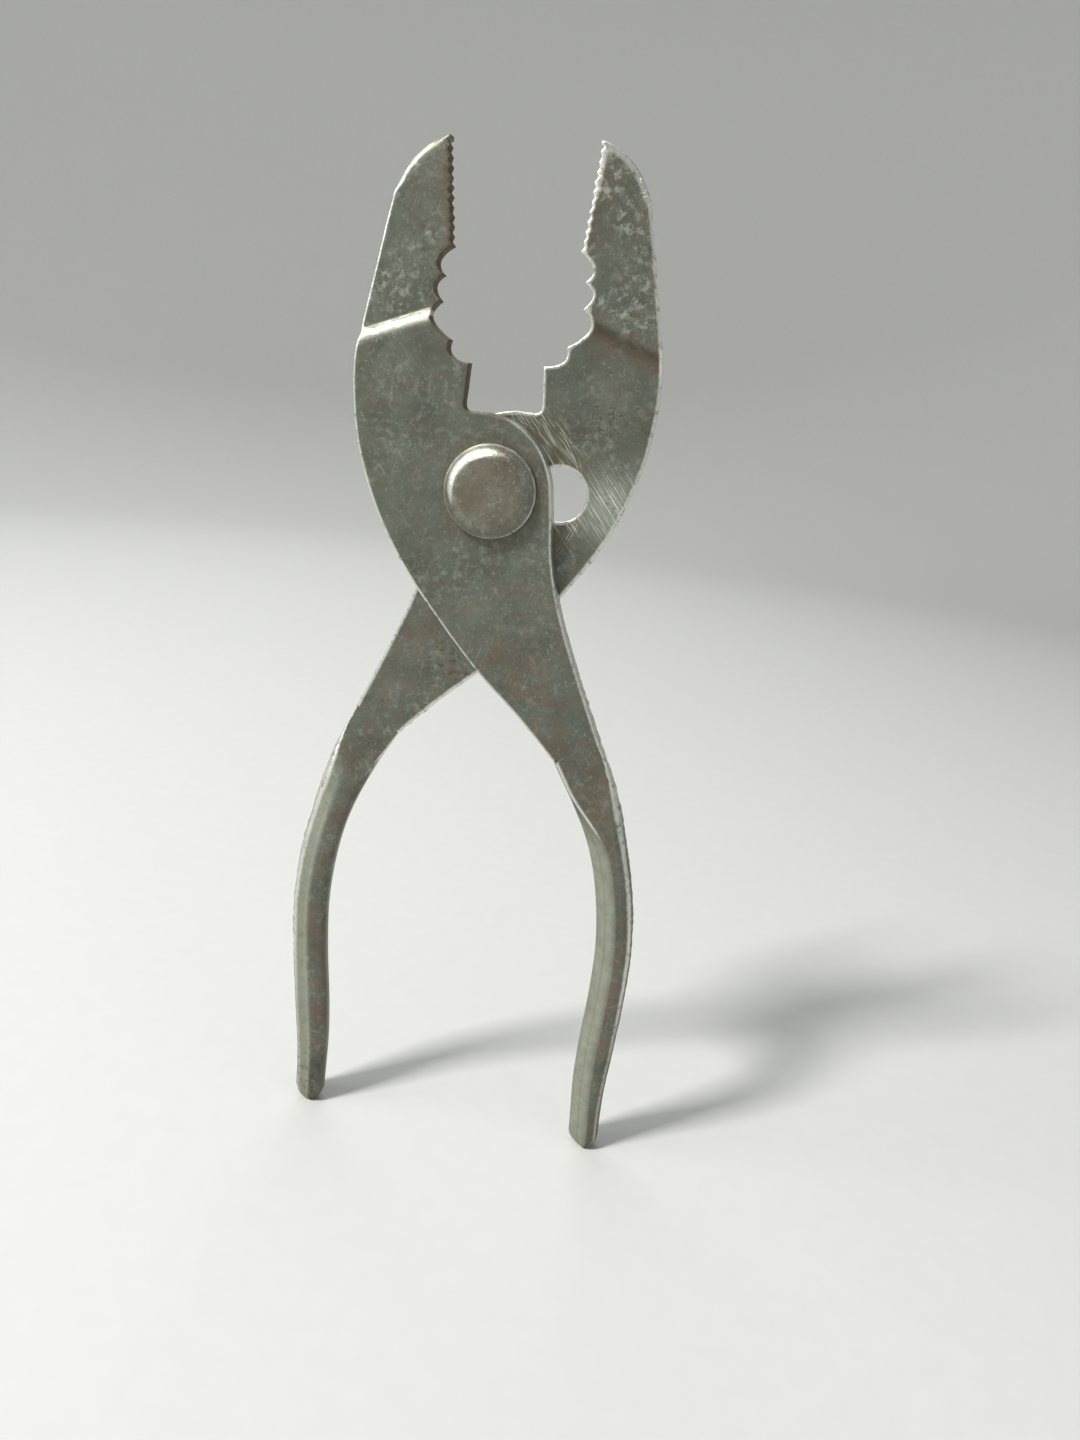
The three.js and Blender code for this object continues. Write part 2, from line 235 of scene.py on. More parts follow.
def evenly(points: np.ndarray, spacing: float) -> np.ndarray:
    """Resample a polyline at about equal spacing, both ends kept."""
    lengths = np.linalg.norm(np.diff(points, axis=0), axis=1)
    travel = np.concatenate([[0.0], np.cumsum(lengths)])
    count = max(1, round(travel[-1] / spacing))
    wanted = np.linspace(0, travel[-1], count + 1)
    return np.stack([np.interp(wanted, travel, points[:, i]) for i in range(2)], axis=1)


def inside(points: np.ndarray, loop: np.ndarray) -> np.ndarray:
    """True for each point that lies within the closed loop."""
    x, z = points[:, 0][:, None], points[:, 1][:, None]
    a, b = loop, np.roll(loop, -1, axis=0)
    spans = (a[:, 1] > z) != (b[:, 1] > z)
    slope = (b[:, 0] - a[:, 0]) / np.where(b[:, 1] == a[:, 1], 1e-12, b[:, 1] - a[:, 1])
    crossing = x < a[:, 0] + slope * (z - a[:, 1])
    return (np.sum(spans & crossing, axis=1) % 2) == 1


def distance_to(points: np.ndarray, line: np.ndarray, closed: bool = True) -> np.ndarray:
    """Distance from each point to the nearest stretch of a line.

    Args:
        points: places to measure from.
        line: corners of the line.
        closed: whether its last corner joins its first.

    Returns:
        One distance for each point.
    """
    a, b = (line, np.roll(line, -1, axis=0)) if closed else (line[:-1], line[1:])
    run = b - a
    square = np.maximum(np.sum(run * run, axis=1), 1e-12)
    best = np.full(len(points), 1e9)
    for start in range(0, len(points), CHUNK):
        part = points[start:start + CHUNK]
        rel = part[:, None, :] - a[None]
        t = np.clip(np.sum(rel * run, axis=2) / square, 0, 1)
        gap = np.linalg.norm(rel - t[..., None] * run, axis=2)
        best[start:start + CHUNK] = gap.min(axis=1)
    return best


def outward_normals(loop: np.ndarray, closed: bool) -> np.ndarray:
    """Mitred outward directions of a loop that runs anticlockwise.

    Args:
        loop: the points in order.
        closed: whether the last point joins the first.

    Returns:
        One vector for each point, longer than 1 at a corner so that the inset keeps its width.
    """
    if closed:
        ahead, behind = np.roll(loop, -1, axis=0) - loop, loop - np.roll(loop, 1, axis=0)
    else:
        step = np.diff(loop, axis=0)
        ahead, behind = np.vstack([step, step[-1]]), np.vstack([step[0], step])
    sides = [np.stack([d[:, 1], -d[:, 0]], axis=1) for d in (ahead, behind)]
    sides = [s / np.linalg.norm(s, axis=1, keepdims=True) for s in sides]
    total = sides[0] + sides[1]
    length = np.maximum(np.linalg.norm(total, axis=1, keepdims=True), 0.3)
    unit = total / length
    spread = np.sum(unit * sides[0], axis=1, keepdims=True)
    return unit / np.clip(spread, 0.62, 1.0)


@dataclass
class Pen:
    """Draws an edge as runs of evenly spaced points, each run of one kind."""

    points: list[np.ndarray] = field(default_factory=list)
    kinds: list[EdgeKind] = field(default_factory=list)

    @property
    def place(self) -> tuple[float, float]:
        """Where the pen stands."""
        return tuple(self.points[-1])

    def start(self, x: float, z: float, kind: EdgeKind) -> None:
        """Put the pen down."""
        self.points, self.kinds = [np.array([x, z])], [kind]

    def run(self, curve: np.ndarray, kind: EdgeKind) -> None:
        """Follow a curve that begins where the pen stands."""
        for point in evenly(curve, kind.value.spacing)[1:]:
            self.points.append(point)
            self.kinds.append(kind)

    def line(self, x: float, z: float, kind: EdgeKind) -> None:
        """Draw straight to x, z."""
        self.run(np.array([self.place, (x, z)]), kind)

    def through(self, points: list[tuple[float, float]], kind: EdgeKind) -> None:
        """Draw a smooth curve through the points."""
        self.run(catmull_rom([self.place, *points]), kind)

    def bend(self, control: tuple[float, float], end: tuple[float, float], kind: EdgeKind) -> None:
        """Draw a curve pulled towards a control point."""
        a, c, b = np.array(self.place), np.array(control), np.array(end)
        t = np.linspace(0, 1, 25)[:, None]
        self.run((1 - t) ** 2 * a + 2 * t * (1 - t) * c + t ** 2 * b, kind)


@dataclass
class Bar:
    """Centre line and width of the handle bar."""

    blank: Blank

    def __post_init__(self) -> None:
        """Measure the centre line once."""
        self.curve = catmull_rom(list(self.blank.handle_spine), 40)
        steps = np.linalg.norm(np.diff(self.curve, axis=0), axis=1)
        self.travel = np.concatenate([[0.0], np.cumsum(steps)])

    @property
    def length(self) -> float:
        """Length of the centre line."""
        return float(self.travel[-1])

    def at(self, share: float) -> tuple[np.ndarray, np.ndarray, np.ndarray, float]:
        """Station at a share of the length.

        Args:
            share: 0 at the flat plate, 1 at the handle's end.

        Returns:
            Middle, direction along, direction across towards the outer edge, and width.
        """
        reach = share * self.length
        near = (max(reach - 0.2, 0.0), min(reach + 0.2, self.length))
        place = [np.interp(reach, self.travel, self.curve[:, i]) for i in range(2)]
        ends = [np.array([np.interp(v, self.travel, self.curve[:, i]) for i in range(2)])
                for v in near]
        along = (ends[1] - ends[0]) / np.linalg.norm(ends[1] - ends[0])
        across = np.array([-along[1], along[0]])
        b = self.blank
        narrowed = smoothstep(share, 0, b.narrowing_share)
        width = b.start_width + (b.mid_width - b.start_width) * narrowed
        width += (b.end_width - width) * smoothstep(share, b.tail_share, 1)
        return np.array(place), along, across, width

    def edge(self, share: float, side: int) -> np.ndarray:
        """Point of the bar's edge: side 1 is the outer edge and -1 the inner."""
        middle, _, across, width = self.at(share)
        return middle + across * side * width / 2


@dataclass
class Section:
    """Cross-section of the handle: flat sheet at the plate, rolled bar further down, in mm.

    Points run round the bar: along the front from the inner edge, round the outer edge, back
    along the rear and up the inner wall. Each is across and depth from the front face.
    """

    blank: Blank
    front_points: int = 15
    side_points: int = 7
    groove: float = 0.12
    crown: float = 0.20
    rear_round: float = 2.3
    lip_inset: float = 0.15

    def cut_shares(self) -> np.ndarray:
        """Places across the flat sheet where the handle joins it."""
        return np.linspace(0, 1, self.front_points) ** 1.25

    def at(self, share: float, width: float) -> list[tuple[float, float]]:
        """Section at a share of the handle's length.

        Args:
            share: 0 at the plate, 1 at the end.
            width: width of the bar there.

        Returns:
            The points of the section.
        """
        b, w = self.blank, width / 2
        rim = EdgeKind.WAIST.value
        formed = smoothstep(share, 0.005, b.forming_share)
        band = b.band_width * smoothstep(share, 0.07, 0.27)
        drop = rim.drop + (b.band_depth - rim.drop) * smoothstep(share, 0.07, 0.25)
        deep = b.sheet + (2 * b.half_depth - b.sheet) * formed
        front_round = rim.inset + (b.outer_round - rim.inset) * formed
        rear_round = rim.back + (self.rear_round - rim.back) * formed
        inner_round = rim.back + (b.inner_round - rim.back) * formed
        points = []
        for u in (0, 0.2, 0.4, 0.5, 0.6, 0.82):
            sunk = self.groove * formed if u == 0.5 else 0.0
            points.append((-w + self.lip_inset + band * u, drop * (1 - u) ** 1.2 + sunk))
        ridge = -w + self.lip_inset + band + 0.2
        points += [(x, 0.0) for x in np.linspace(ridge, w - front_round, 9)]
        for angle in (-70, -45, -15):
            a = math.radians(angle)
            points.append((w - front_round * (1 - math.cos(a)), front_round * (1 + math.sin(a))))
        points.append((w, deep / 2))
        for angle in (15, 45, 70):
            a = math.radians(angle)
            points.append((w - rear_round * (1 - math.cos(a)),
                           deep - rear_round * (1 - math.sin(a))))
        for u in np.linspace(0, 1, self.front_points):
            x = (w - rear_round) * (1 - u) + (inner_round - w) * u
            points.append((x, deep + self.crown * formed * (1 - (2 * u - 1) ** 2)))
        for angle in (20, 50, 80):
            a = math.radians(angle)
            points.append((-w + inner_round * (1 - math.sin(a)),
                           deep - inner_round * (1 - math.cos(a))))
        points += [(-w, y) for y in np.linspace(deep - inner_round, drop + 0.25, 4)]
        return points

    def shine(self, share: float) -> list[float]:
        """How bright each point is rubbed bare, 0 to 1, which also serves as painted highlight: the
        lip's ridge high up, the corners lower.
        """
        lip = 1 - smoothstep(share, 0.16, 0.30)
        corner = 0.92 - 0.22 * smoothstep(share, 0.5, 0.8)
        front = [0.55 * lip, 0.2, 0.1, 0.0, 0.1, 0.5 * lip, 0.95 * lip, 0.3 * lip]
        front += [0.0] * 5 + [0.1, 0.35]
        wall = smoothstep(share, 0, 0.3)
        outer = [0.95 + (v - 0.95) * wall for v in (0.45, corner, 0.5, 0.2, 0.5, corner, 0.45)]
        inner = [0.95 * (1 - wall)] * 7
        return front + outer + [0.2] + [0.0] * (self.front_points - 1) + inner

    def pale(self, share: float) -> list[float]:
        """How strongly each point is painted paler as lit, 0 to 1: a painted highlight, most on the
        sloping band that faces the light.
        """
        band = smoothstep(share, 0.10, 0.24)
        front = [0.9, 1.0, 1.0, 0.7, 1.0, 0.9, 0.45, 0.15] + [0.0] * 7
        rear = [0.8, 0.95, 1.0, 0.85, 0.6, 0.3, 0.1] + [0.0] * (self.front_points - 7)
        inner = [0.0, 0.0, 0.0, 0.1, 0.3, 0.6, 0.8]
        return [value * band for value in front + [0.0, 0.0, 0.1, 0.3, 0.5, 0.6, 0.7] + rear + inner]

    def outer_range(self) -> range:
        """Numbers of the points on the sheared outer edge."""
        return range(self.front_points - 1, self.front_points + self.side_points + 1)


@dataclass
class Lever:
    """One lever: flat plate, offset jaw with teeth, and the handle rolled from its sheet."""

    name: str
    blank: Blank
    side: Side
    seed: int
    opening: np.ndarray
    rings: int = 170
    end_rings: int = 9
    grid: float = 0.80
    wave: float = 0.035
    ripple: float = 0.012

    def __post_init__(self) -> None:
        """Set up the empty mesh lists."""
        self.bar = Bar(self.blank)
        self.section = Section(self.blank)
        self.verts: list[tuple[float, float, float]] = []
        self.faces: list[tuple[int, ...]] = []
        self.rolled: dict[int, float] = {}
        self.shine: dict[int, float] = {}
        self.pale: dict[int, float] = {}
        self.torn: dict[int, tuple[float, float, float]] = {}
        self.chance = random.Random(self.seed)

    # ---- outline
    def outline(self) -> Pen:
        """Edge of the blank from the handle's outer edge round the jaw to its inner edge."""
        b, pen = self.blank, Pen()
        outer, inner = self.bar.edge(0, 1), self.bar.edge(0, -1)
        floor, pull, foot, top = b.throat
        pen.start(outer[0], outer[1], EdgeKind.WAIST)
        pen.through(list(b.eye_edge), EdgeKind.EYE)
        pen.line(*floor, EdgeKind.THROAT)
        pen.bend(pull, foot, EdgeKind.THROAT)
        pen.line(*top, EdgeKind.THROAT)
        for hollow, cusp in b.pipe_grip:
            pen.bend(hollow, cusp, EdgeKind.GRIP)
        self.draw_fine_teeth(pen)
        pen.through(list(b.nose), EdgeKind.TIP)
        pen.through(list(b.jaw_back), EdgeKind.BACK)
        pen.through([*b.inner_edge, tuple(inner)], EdgeKind.WAIST)
        return pen

    def draw_fine_teeth(self, pen: Pen) -> None:
        """Cross-cut teeth, each worn a little differently, and a flat land at the tip."""
        b = self.blank
        for i in range(b.fine_teeth):
            worn = b.jaw_edge - 0.14 * self.chance.random()
            depth = b.fine_depth * (0.75 + 0.25 * self.chance.random())
            root = b.teeth_foot + (i + 0.42 + 0.1 * self.chance.random()) * b.fine_pitch
            pen.line(b.jaw_edge - depth, root, EdgeKind.TEETH)
            if i < b.fine_teeth - 1:
                pen.line(worn, b.teeth_foot + (i + 1) * b.fine_pitch, EdgeKind.TEETH)
        pen.line(b.jaw_edge, b.tip_height - b.tip_land, EdgeKind.TEETH)
        pen.line(b.jaw_edge, b.tip_height, EdgeKind.TEETH)

    # ---- rim and caps
    def rim_profile(self, kind: EdgeKind) -> list[tuple[float, float]]:
        """Inset and depth of the rim from the front face to the back face.

        The front edge is rolled over by the punch, the wall tears outwards and the back edge
        keeps a small burr, so the back is a little wider than the front.
        """
        edge, depth = kind.value, self.blank.sheet
        turns = [math.radians(a) for a in (0, 30, 60, 90)]
        rim = [(edge.inset * (1 - math.sin(a)), edge.drop * (1 - math.cos(a))) for a in turns]
        rim.append((-edge.burr * 0.35, depth * 0.48))
        rim.append((-edge.burr * 0.8, depth * 0.78))
        rim.append((-edge.burr, depth - edge.back))
        rim.append((-edge.burr + edge.back * 0.3, depth - edge.back * 0.3))
        rim.append((-edge.burr + edge.back, depth))
        return rim

    def add_rim(self, loop: np.ndarray, kinds: list[EdgeKind], normals: np.ndarray,
                closed: bool) -> list[list[int]]:
        """Make the rim's vertices and faces along a loop.

        Args:
            loop: points of the edge.
            kinds: kind of edge at each point.
            normals: directions out of the material.
            closed: whether the last point joins the first.

        Returns:
            Vertex numbers, one row for each point, front to back.
        """
        rows = []
        for point, profile, normal in zip(loop, self.softened(kinds), normals):
            rough = 0.0 if closed else self.roughness_at(point)
            row = []
            for inset, depth in profile:
                place = point - normal * inset
                row.append(len(self.verts))
                self.torn[len(self.verts)] = (normal[0], normal[1], rough)
                self.verts.append((place[0], depth, place[1]))
            rows.append(row)
        count = len(rows) if closed else len(rows) - 1
        for i in range(count):
            a, b = rows[i], rows[(i + 1) % len(rows)]
            for j in range(len(a) - 1):
                self.faces.append((a[j], a[j + 1], b[j + 1], b[j]))
        return rows

    def roughness_at(self, point: np.ndarray) -> float:
        """How torn the sheared edge is in mm: worst on the outer edge above the handle."""
        x, z = point
        if x > 5 and z < 0:
            return 0.03 + 0.13 * smoothstep(-z, 16, 30)
        if z < -5 and -16 < x < -9:
            return 0.20
        return 0.03 + 0.06 * smoothstep(-x, 16.5, 18.0) * smoothstep(-z, -12, 4)

    def softened(self, kinds: list[EdgeKind]) -> list[list[tuple[float, float]]]:
        """Rim profile at each point, eased where one kind of edge meets another.

        The narrower profile wins for two points first, so that a wide bevel ends before a tooth.
        """
        profiles = np.array([self.rim_profile(kind) for kind in kinds])
        shifted = [np.clip(np.arange(len(kinds)) + shift, 0, len(kinds) - 1)
                   for shift in (-2, -1, 0, 1, 2)]
        narrow = np.min([profiles[index] for index in shifted], axis=0)
        blend = np.mean([narrow[index] for index in shifted], axis=0)
        return [[tuple(pair) for pair in profile] for profile in blend]

    def inner_points(self, loop: np.ndarray, hole: np.ndarray) -> np.ndarray:
        """Points that fill a cap, in even rows across the offset bend."""
        low, high = loop.min(axis=0), loop.max(axis=0)
        xs = np.arange(low[0], high[0], self.grid)
        zs = np.arange(low[1], high[1], self.grid * 0.87)
        plain = np.array([(x + (k % 2) * self.grid / 2, z) for k, z in enumerate(zs) for x in xs])
        up, level, centre = self.jog_axes()
        reach = self.blank.jog_length / 2 + 0.3
        plain = plain[np.abs((plain - centre) @ up) > reach + 0.4]
        rows = []
        for v in np.linspace(-reach, reach, 17):
            rows.extend(centre + up * v + level * u for u in np.arange(-12, 14, 0.5))
        points = np.vstack([plain, np.array(rows)])
        points = points[inside(points, loop) & ~inside(points, hole)]
        clear = np.minimum(distance_to(points, loop), distance_to(points, hole))
        return points[clear > CAP_CLEARANCE]

    def add_cap(self, outer: list[int], hole: list[int]) -> None:
        """Fill one face of the sheet between its rim and the opening's rim."""
        depth = self.verts[outer[0]][1]
        flat = [np.array([(self.verts[i][0], self.verts[i][2]) for i in ring])
                for ring in (outer, hole)]
        extra = self.inner_points(flat[0], flat[1])
        numbers = [*outer, *hole]
        for point in extra:
            numbers.append(len(self.verts))
            self.verts.append((point[0], depth, point[1]))
        coords = [Vector(p) for p in np.vstack([*flat, extra])]
        count, start = len(outer), len(outer)
        edges = [(i, (i + 1) % count) for i in range(count)]
        edges += [(start + i, start + (i + 1) % len(hole)) for i in range(len(hole))]
        made, _, faces, origins, _, _ = delaunay_2d_cdt(coords, edges, [], 0, 1e-7)
        owner = []
        for place, origin in zip(made, origins):
            if not origin:
                numbers.append(len(self.verts))
                self.verts.append((place[0], depth, place[1]))
            owner.append(numbers[origin[0]] if origin else numbers[-1])
        places = np.array([tuple(v) for v in made])
        centres = np.array([places[list(f)].mean(axis=0) for f in faces])
        keep = inside(centres, flat[0]) & ~inside(centres, flat[1])
        for face, wanted in zip(faces, keep):
            if wanted:
                self.faces.append(tuple(owner[i] for i in face))

    # ---- handle
    def add_handle(self, first: list[int]) -> None:
        """Sweep the rolled bar from the plate's cut edge to its rounded end."""
        count, previous = len(first), first
        radius, middle_depth = self.blank.end_width / 2, self.blank.half_depth
        outer = self.section.outer_range()
        for i in range(1, self.rings + self.end_rings + 1):
            swing = math.radians(END_SWING * max(0, i - self.rings) / self.end_rings)
            share = min(i / self.rings, 1.0)
            middle, along, across, width = self.bar.at(share)
            formed = smoothstep(share, 0.005, self.blank.forming_share)
            rough = 0.15 * (1 - smoothstep(share, 0.45, 0.95))
            shine, pale = self.section.shine(share), self.section.pale(share)
            ring = []
            for k, (a, d) in enumerate(self.section.at(share, width)):
                d = middle_depth + (d - middle_depth) * (1 - 0.5 * (1 - math.cos(swing)))
                place = middle + across * a * math.cos(swing) + along * radius * math.sin(swing)
                number = len(self.verts)
                ring.append(number)
                self.rolled[number], self.shine[number] = formed, shine[k]
                self.pale[number] = pale[k]
                if k in outer:
                    self.torn[number] = (across[0], across[1], rough)
                self.verts.append((place[0], d, place[1]))
            for k in range(count):
                n = (k + 1) % count
                self.faces.append((previous[k], previous[n], ring[n], ring[k]))
            previous = ring
        centre = np.mean([self.verts[i] for i in previous], axis=0)
        self.verts.append(tuple(centre))
        for k in range(count):
            self.faces.append((previous[k], previous[(k + 1) % count], len(self.verts) - 1))

    # ---- forming
    def jog_axes(self) -> tuple[np.ndarray, np.ndarray, np.ndarray]:
        """Direction up the jaw, direction along the bend, and a point on the bend."""
        a = math.radians(self.blank.jog_slope)
        up, level = np.array([-math.sin(a), math.cos(a)]), np.array([math.cos(a), math.sin(a)])
        return up, level, np.array(self.blank.jog_centre)

    def formed_places(self) -> np.ndarray:
        """Vertex places in the blank's frame: edges torn, jaw offset, sheet gently uneven."""
        points = np.array(self.verts)
        for number, (nx, nz, rough) in self.torn.items():
            place = points[number]
            spot = Vector((place[0] / 0.75, place[1] / 1.1 + self.seed, place[2] / 0.75))
            broad = Vector((place[0] / 2.6, self.seed, place[2] / 2.6))
            step = rough * noise.noise(spot) + 0.05 * noise.noise(broad)
            place[0] += nx * step
            place[2] += nz * step
        up, _, centre = self.jog_axes()
        b = self.blank
        t = np.clip((points[:, [0, 2]] - centre) @ up / b.jog_length + 0.5, 0, 1)
        bend = (1 - np.cos(np.pi * t ** b.jog_crease)) / 2
        points[:, 1] += b.jaw_offset * bend - b.half_depth
        for place in points:
            broad = noise.noise(Vector((place[0] / 9, self.seed, place[2] / 9)))
            small = noise.noise(Vector((place[0] / 2.4, self.seed + 7, place[2] / 2.4)))
            place[1] += self.wave * broad + self.ripple * small
        return points

    def build(self) -> bpy.types.Object:
        """Make the lever's mesh in the blank's frame, in mm, before it is stood in place."""
        pen = self.outline()
        loop = np.array(pen.points)
        normals = outward_normals(loop, closed=False)
        _, _, across, _ = self.bar.at(0)
        normals[0], normals[-1] = across, -across
        rows = self.add_rim(loop, pen.kinds, normals, closed=False)
        hole_normals = -outward_normals(self.opening, closed=True)
        kinds = [EdgeKind.OPENING] * len(self.opening)
        hole = self.add_rim(self.opening, kinds, hole_normals, closed=True)
        front = self.add_cut(rows[-1][0], rows[0][0])
        back = self.add_cut(rows[0][-1], rows[-1][-1])
        self.add_cap([row[0] for row in rows] + front, [row[0] for row in hole])
        self.add_cap([row[-1] for row in rows] + back[::-1], [row[-1] for row in hole])
        self.add_handle([rows[-1][0], *front, *rows[0], *back, *rows[-1][:0:-1]])
        return self.to_object(loop)

    def add_cut(self, start: int, end: int) -> list[int]:
        """Add the points across the sheet where the handle joins one face, bowed a hair outwards."""
        ends = [np.array(self.verts[i]) for i in (start, end)]
        _, along, _, _ = self.bar.at(0)
        bow, numbers = np.array([along[0], 0, along[1]]) * CUT_BOW, []
        for share in self.section.cut_shares()[1:-1]:
            numbers.append(len(self.verts))
            place = ends[0] + (ends[1] - ends[0]) * share + bow * share * (1 - share)
            self.verts.append(tuple(place))
        return numbers

    def wear(self, points: np.ndarray, loop: np.ndarray) -> dict[str, np.ndarray]:
        """Masks at each vertex for the finish, painted highlight and painted shade among them besides
        wear and dirt.

        Args:
            points: formed places in the blank's frame.
            loop: the blank's edge.

        Returns:
            Mask values by name: edge, rolled, pale, jaw, grime (dirt and painted shade), lap, scuff and
                pits.
        """
        b, flat = self.blank, points[:, [0, 2]]
        x, z = flat[:, 0], flat[:, 1]
        ease = np.vectorize(smoothstep)
        rolled = np.array([self.rolled.get(i, 0.0) for i in range(len(points))])
        on_bar = np.array([i in self.rolled for i in range(len(points))])
        near = np.minimum(distance_to(flat, loop, closed=False), distance_to(flat, self.opening))
        shine = np.array([self.shine.get(i, 0.0) for i in range(len(points))])
        pale = np.array([self.pale.get(i, 0.0) for i in range(len(points))])
        up, _, centre = self.jog_axes()
        along = (flat - centre) @ up
        turned_over = self.side is Side.TURNED_OVER
        across = -(x - b.wide_seat[0])
        height = z - b.wide_seat[1]
        reach = np.hypot(across, height)
        turn = np.degrees(np.arctan2(height, across))
        arc_window = ease(turn, -40, -15) * (1 - ease(turn, 82, 100))
        lap = ease(reach, 8.0, 9.0) * (1 - ease(reach, 12.6, 14.0)) * arc_window
        scuff = np.exp(-((across - 16.3) ** 2 + (height - 1.0) ** 2) / 15.0)
        pits = np.exp(-((x - 3.4) ** 2 + (z + 26.5) ** 2) / 18.0)
        # painted shade: darkens the turned-over lever just below its offset bend, where the bend's
        # shade falls
        hollow = np.exp(-((along - 0.2) / 1.5) ** 2) * (1 if turned_over else 0)
        teeth = np.exp(-np.abs(x - b.jaw_edge) / 1.8) * ease(z, 25, 34) * ease(-z, -45, -43)
        # painted shade: a dark ring on the front lever round the rivet's head, standing in for its
        # shadow
        head_shadow_ring = ease(np.hypot(x, z), 6.0, 6.6) * (1 - ease(np.hypot(x, z), 7.0, 8.6))
        scaly = b.jaw_edge if turned_over else b.jaw_back[0][0]
        # rubbed bright edge along the rim, also a painted highlight on the rounded edges
        rim = np.clip(1 - near / (1 + 0.9 * ease(z, 38, 40)), 0, 1)
        shaded_walls = np.zeros(len(points))
        if not turned_over:
            # painted shade: the front jaw's gripping edge walls are darkened and their bright rim held
            # back, as they face away from the light
            gripping = ease(z, 8, 11) * ease(x - b.jaw_edge + (z < b.teeth_foot) * 3.0, -3.5, -0.6)
            # painted highlight: a bright line along the front lever's offset bend, laid into the edge
            # mask
            crest_highlight = 0.95 * np.exp(-((along - b.jog_length / 4) / 0.55) ** 2)
            shaded_walls = 0.85 * gripping * np.clip(1.2 - near / 0.3, 0, 1) * ease(-z, -44.8, -43.6)
            rim = np.maximum(rim * (1 - 0.6 * gripping), crest_highlight)
        return {
            "edge": np.where(on_bar, shine, rim),
            "rolled": np.maximum(rolled, 0.55 * ease(-z, 8, 22)),
            "pale": pale,
            "jaw": ease(along, 0, 4.0) * (0.30 + 0.70 * np.exp(-np.abs(x - scaly) / 4)),
            # dirt by the teeth plus painted shade: below the offset bend, on the front jaw's inner
            # walls and round the rivet's head
            "grime_and_shade": np.clip(0.9 * hollow + 0.7 * teeth + shaded_walls
                             + (0 if turned_over else 0.5) * head_shadow_ring, 0, 1),
            "lap": lap * turned_over,
            "scuff": scuff * turned_over,
            "pits": pits * turned_over,
        }

    def to_object(self, loop: np.ndarray) -> bpy.types.Object:
        """Put the lists into a mesh with its wear masks, painted highlight and painted shade among
        them.
        """
        points = self.formed_places()
        mesh = bpy.data.meshes.new(self.name)
        mesh.from_pydata([tuple(p) for p in points], [], self.faces)
        paint(mesh, self.wear(points, loop))
        tidy = bmesh.new()
        tidy.from_mesh(mesh)
        bmesh.ops.recalc_face_normals(tidy, faces=tidy.faces)
        tidy.to_mesh(mesh)
        tidy.free()
        return stand(self.name, mesh)


# ---- openings
def arc(centre: tuple[float, float], radius: float, start: float, stop: float,
        spacing: float = 0.4) -> list[tuple[float, float]]:
    """Points of an arc, from the start angle to the stop angle in radians."""
    count = max(3, round(abs(stop - start) * radius / spacing))
    angles = np.linspace(start, stop, count + 1)
    return [(centre[0] + radius * math.cos(a), centre[1] + radius * math.sin(a)) for a in angles]


def closed_run(points: list[tuple[float, float]], spacing: float = 0.4) -> np.ndarray:
    """A closed loop at about equal spacing, with no point twice."""
    runs = []
    for a, b in zip(points, points[1:] + points[:1]):
        if math.dist(a, b) > 1e-6:
            runs.append(evenly(np.array([a, b]), spacing)[:-1])
    return np.vstack(runs)


@dataclass
class Joint:
    """The rivet's shank and the openings that it runs in, in the blank's frame."""

    blank: Blank

    @property
    def slot_angle(self) -> float:
        """Direction of the slot as the pliers stand at rest."""
        b = self.blank
        rise, run = b.narrow_seat[1] - b.wide_seat[1], b.wide_seat[0] - b.narrow_seat[0]
        return math.atan2(rise, run) - math.radians(b.back_open)

    def shank(self, extra: float, angle: float) -> np.ndarray:
        """Round with two flats, grown by extra."""
        radius, flats = self.blank.shank_radius + extra, self.blank.shank_flats + 2 * extra
        reach = math.asin(flats / 2 / radius)
        sides = arc((0, 0), radius, angle - reach, angle + reach)
        sides += arc((0, 0), radius, angle + math.pi - reach, angle + math.pi + reach)
        return closed_run(sides)

    def hole(self) -> np.ndarray:
        """Opening of the front lever, which the shank turns with."""
        return self.shank(self.blank.clearance, self.slot_angle - math.radians(self.blank.front_open))

    def slot(self) -> np.ndarray:
        """Opening of the back lever: two round seats joined by a narrower neck."""
        b = self.blank
        (x0, z0), (x1, z1) = b.wide_seat, b.narrow_seat
        angle = math.atan2(z1 - z0, x1 - x0)
        lip = math.asin(b.neck_width / 2 / b.seat_radius)
        ends = arc((x0, z0), b.seat_radius, angle + lip, angle + 2 * math.pi - lip)
        ends += arc((x1, z1), b.seat_radius, angle + math.pi + lip, angle + 3 * math.pi - lip)
        return closed_run(ends)


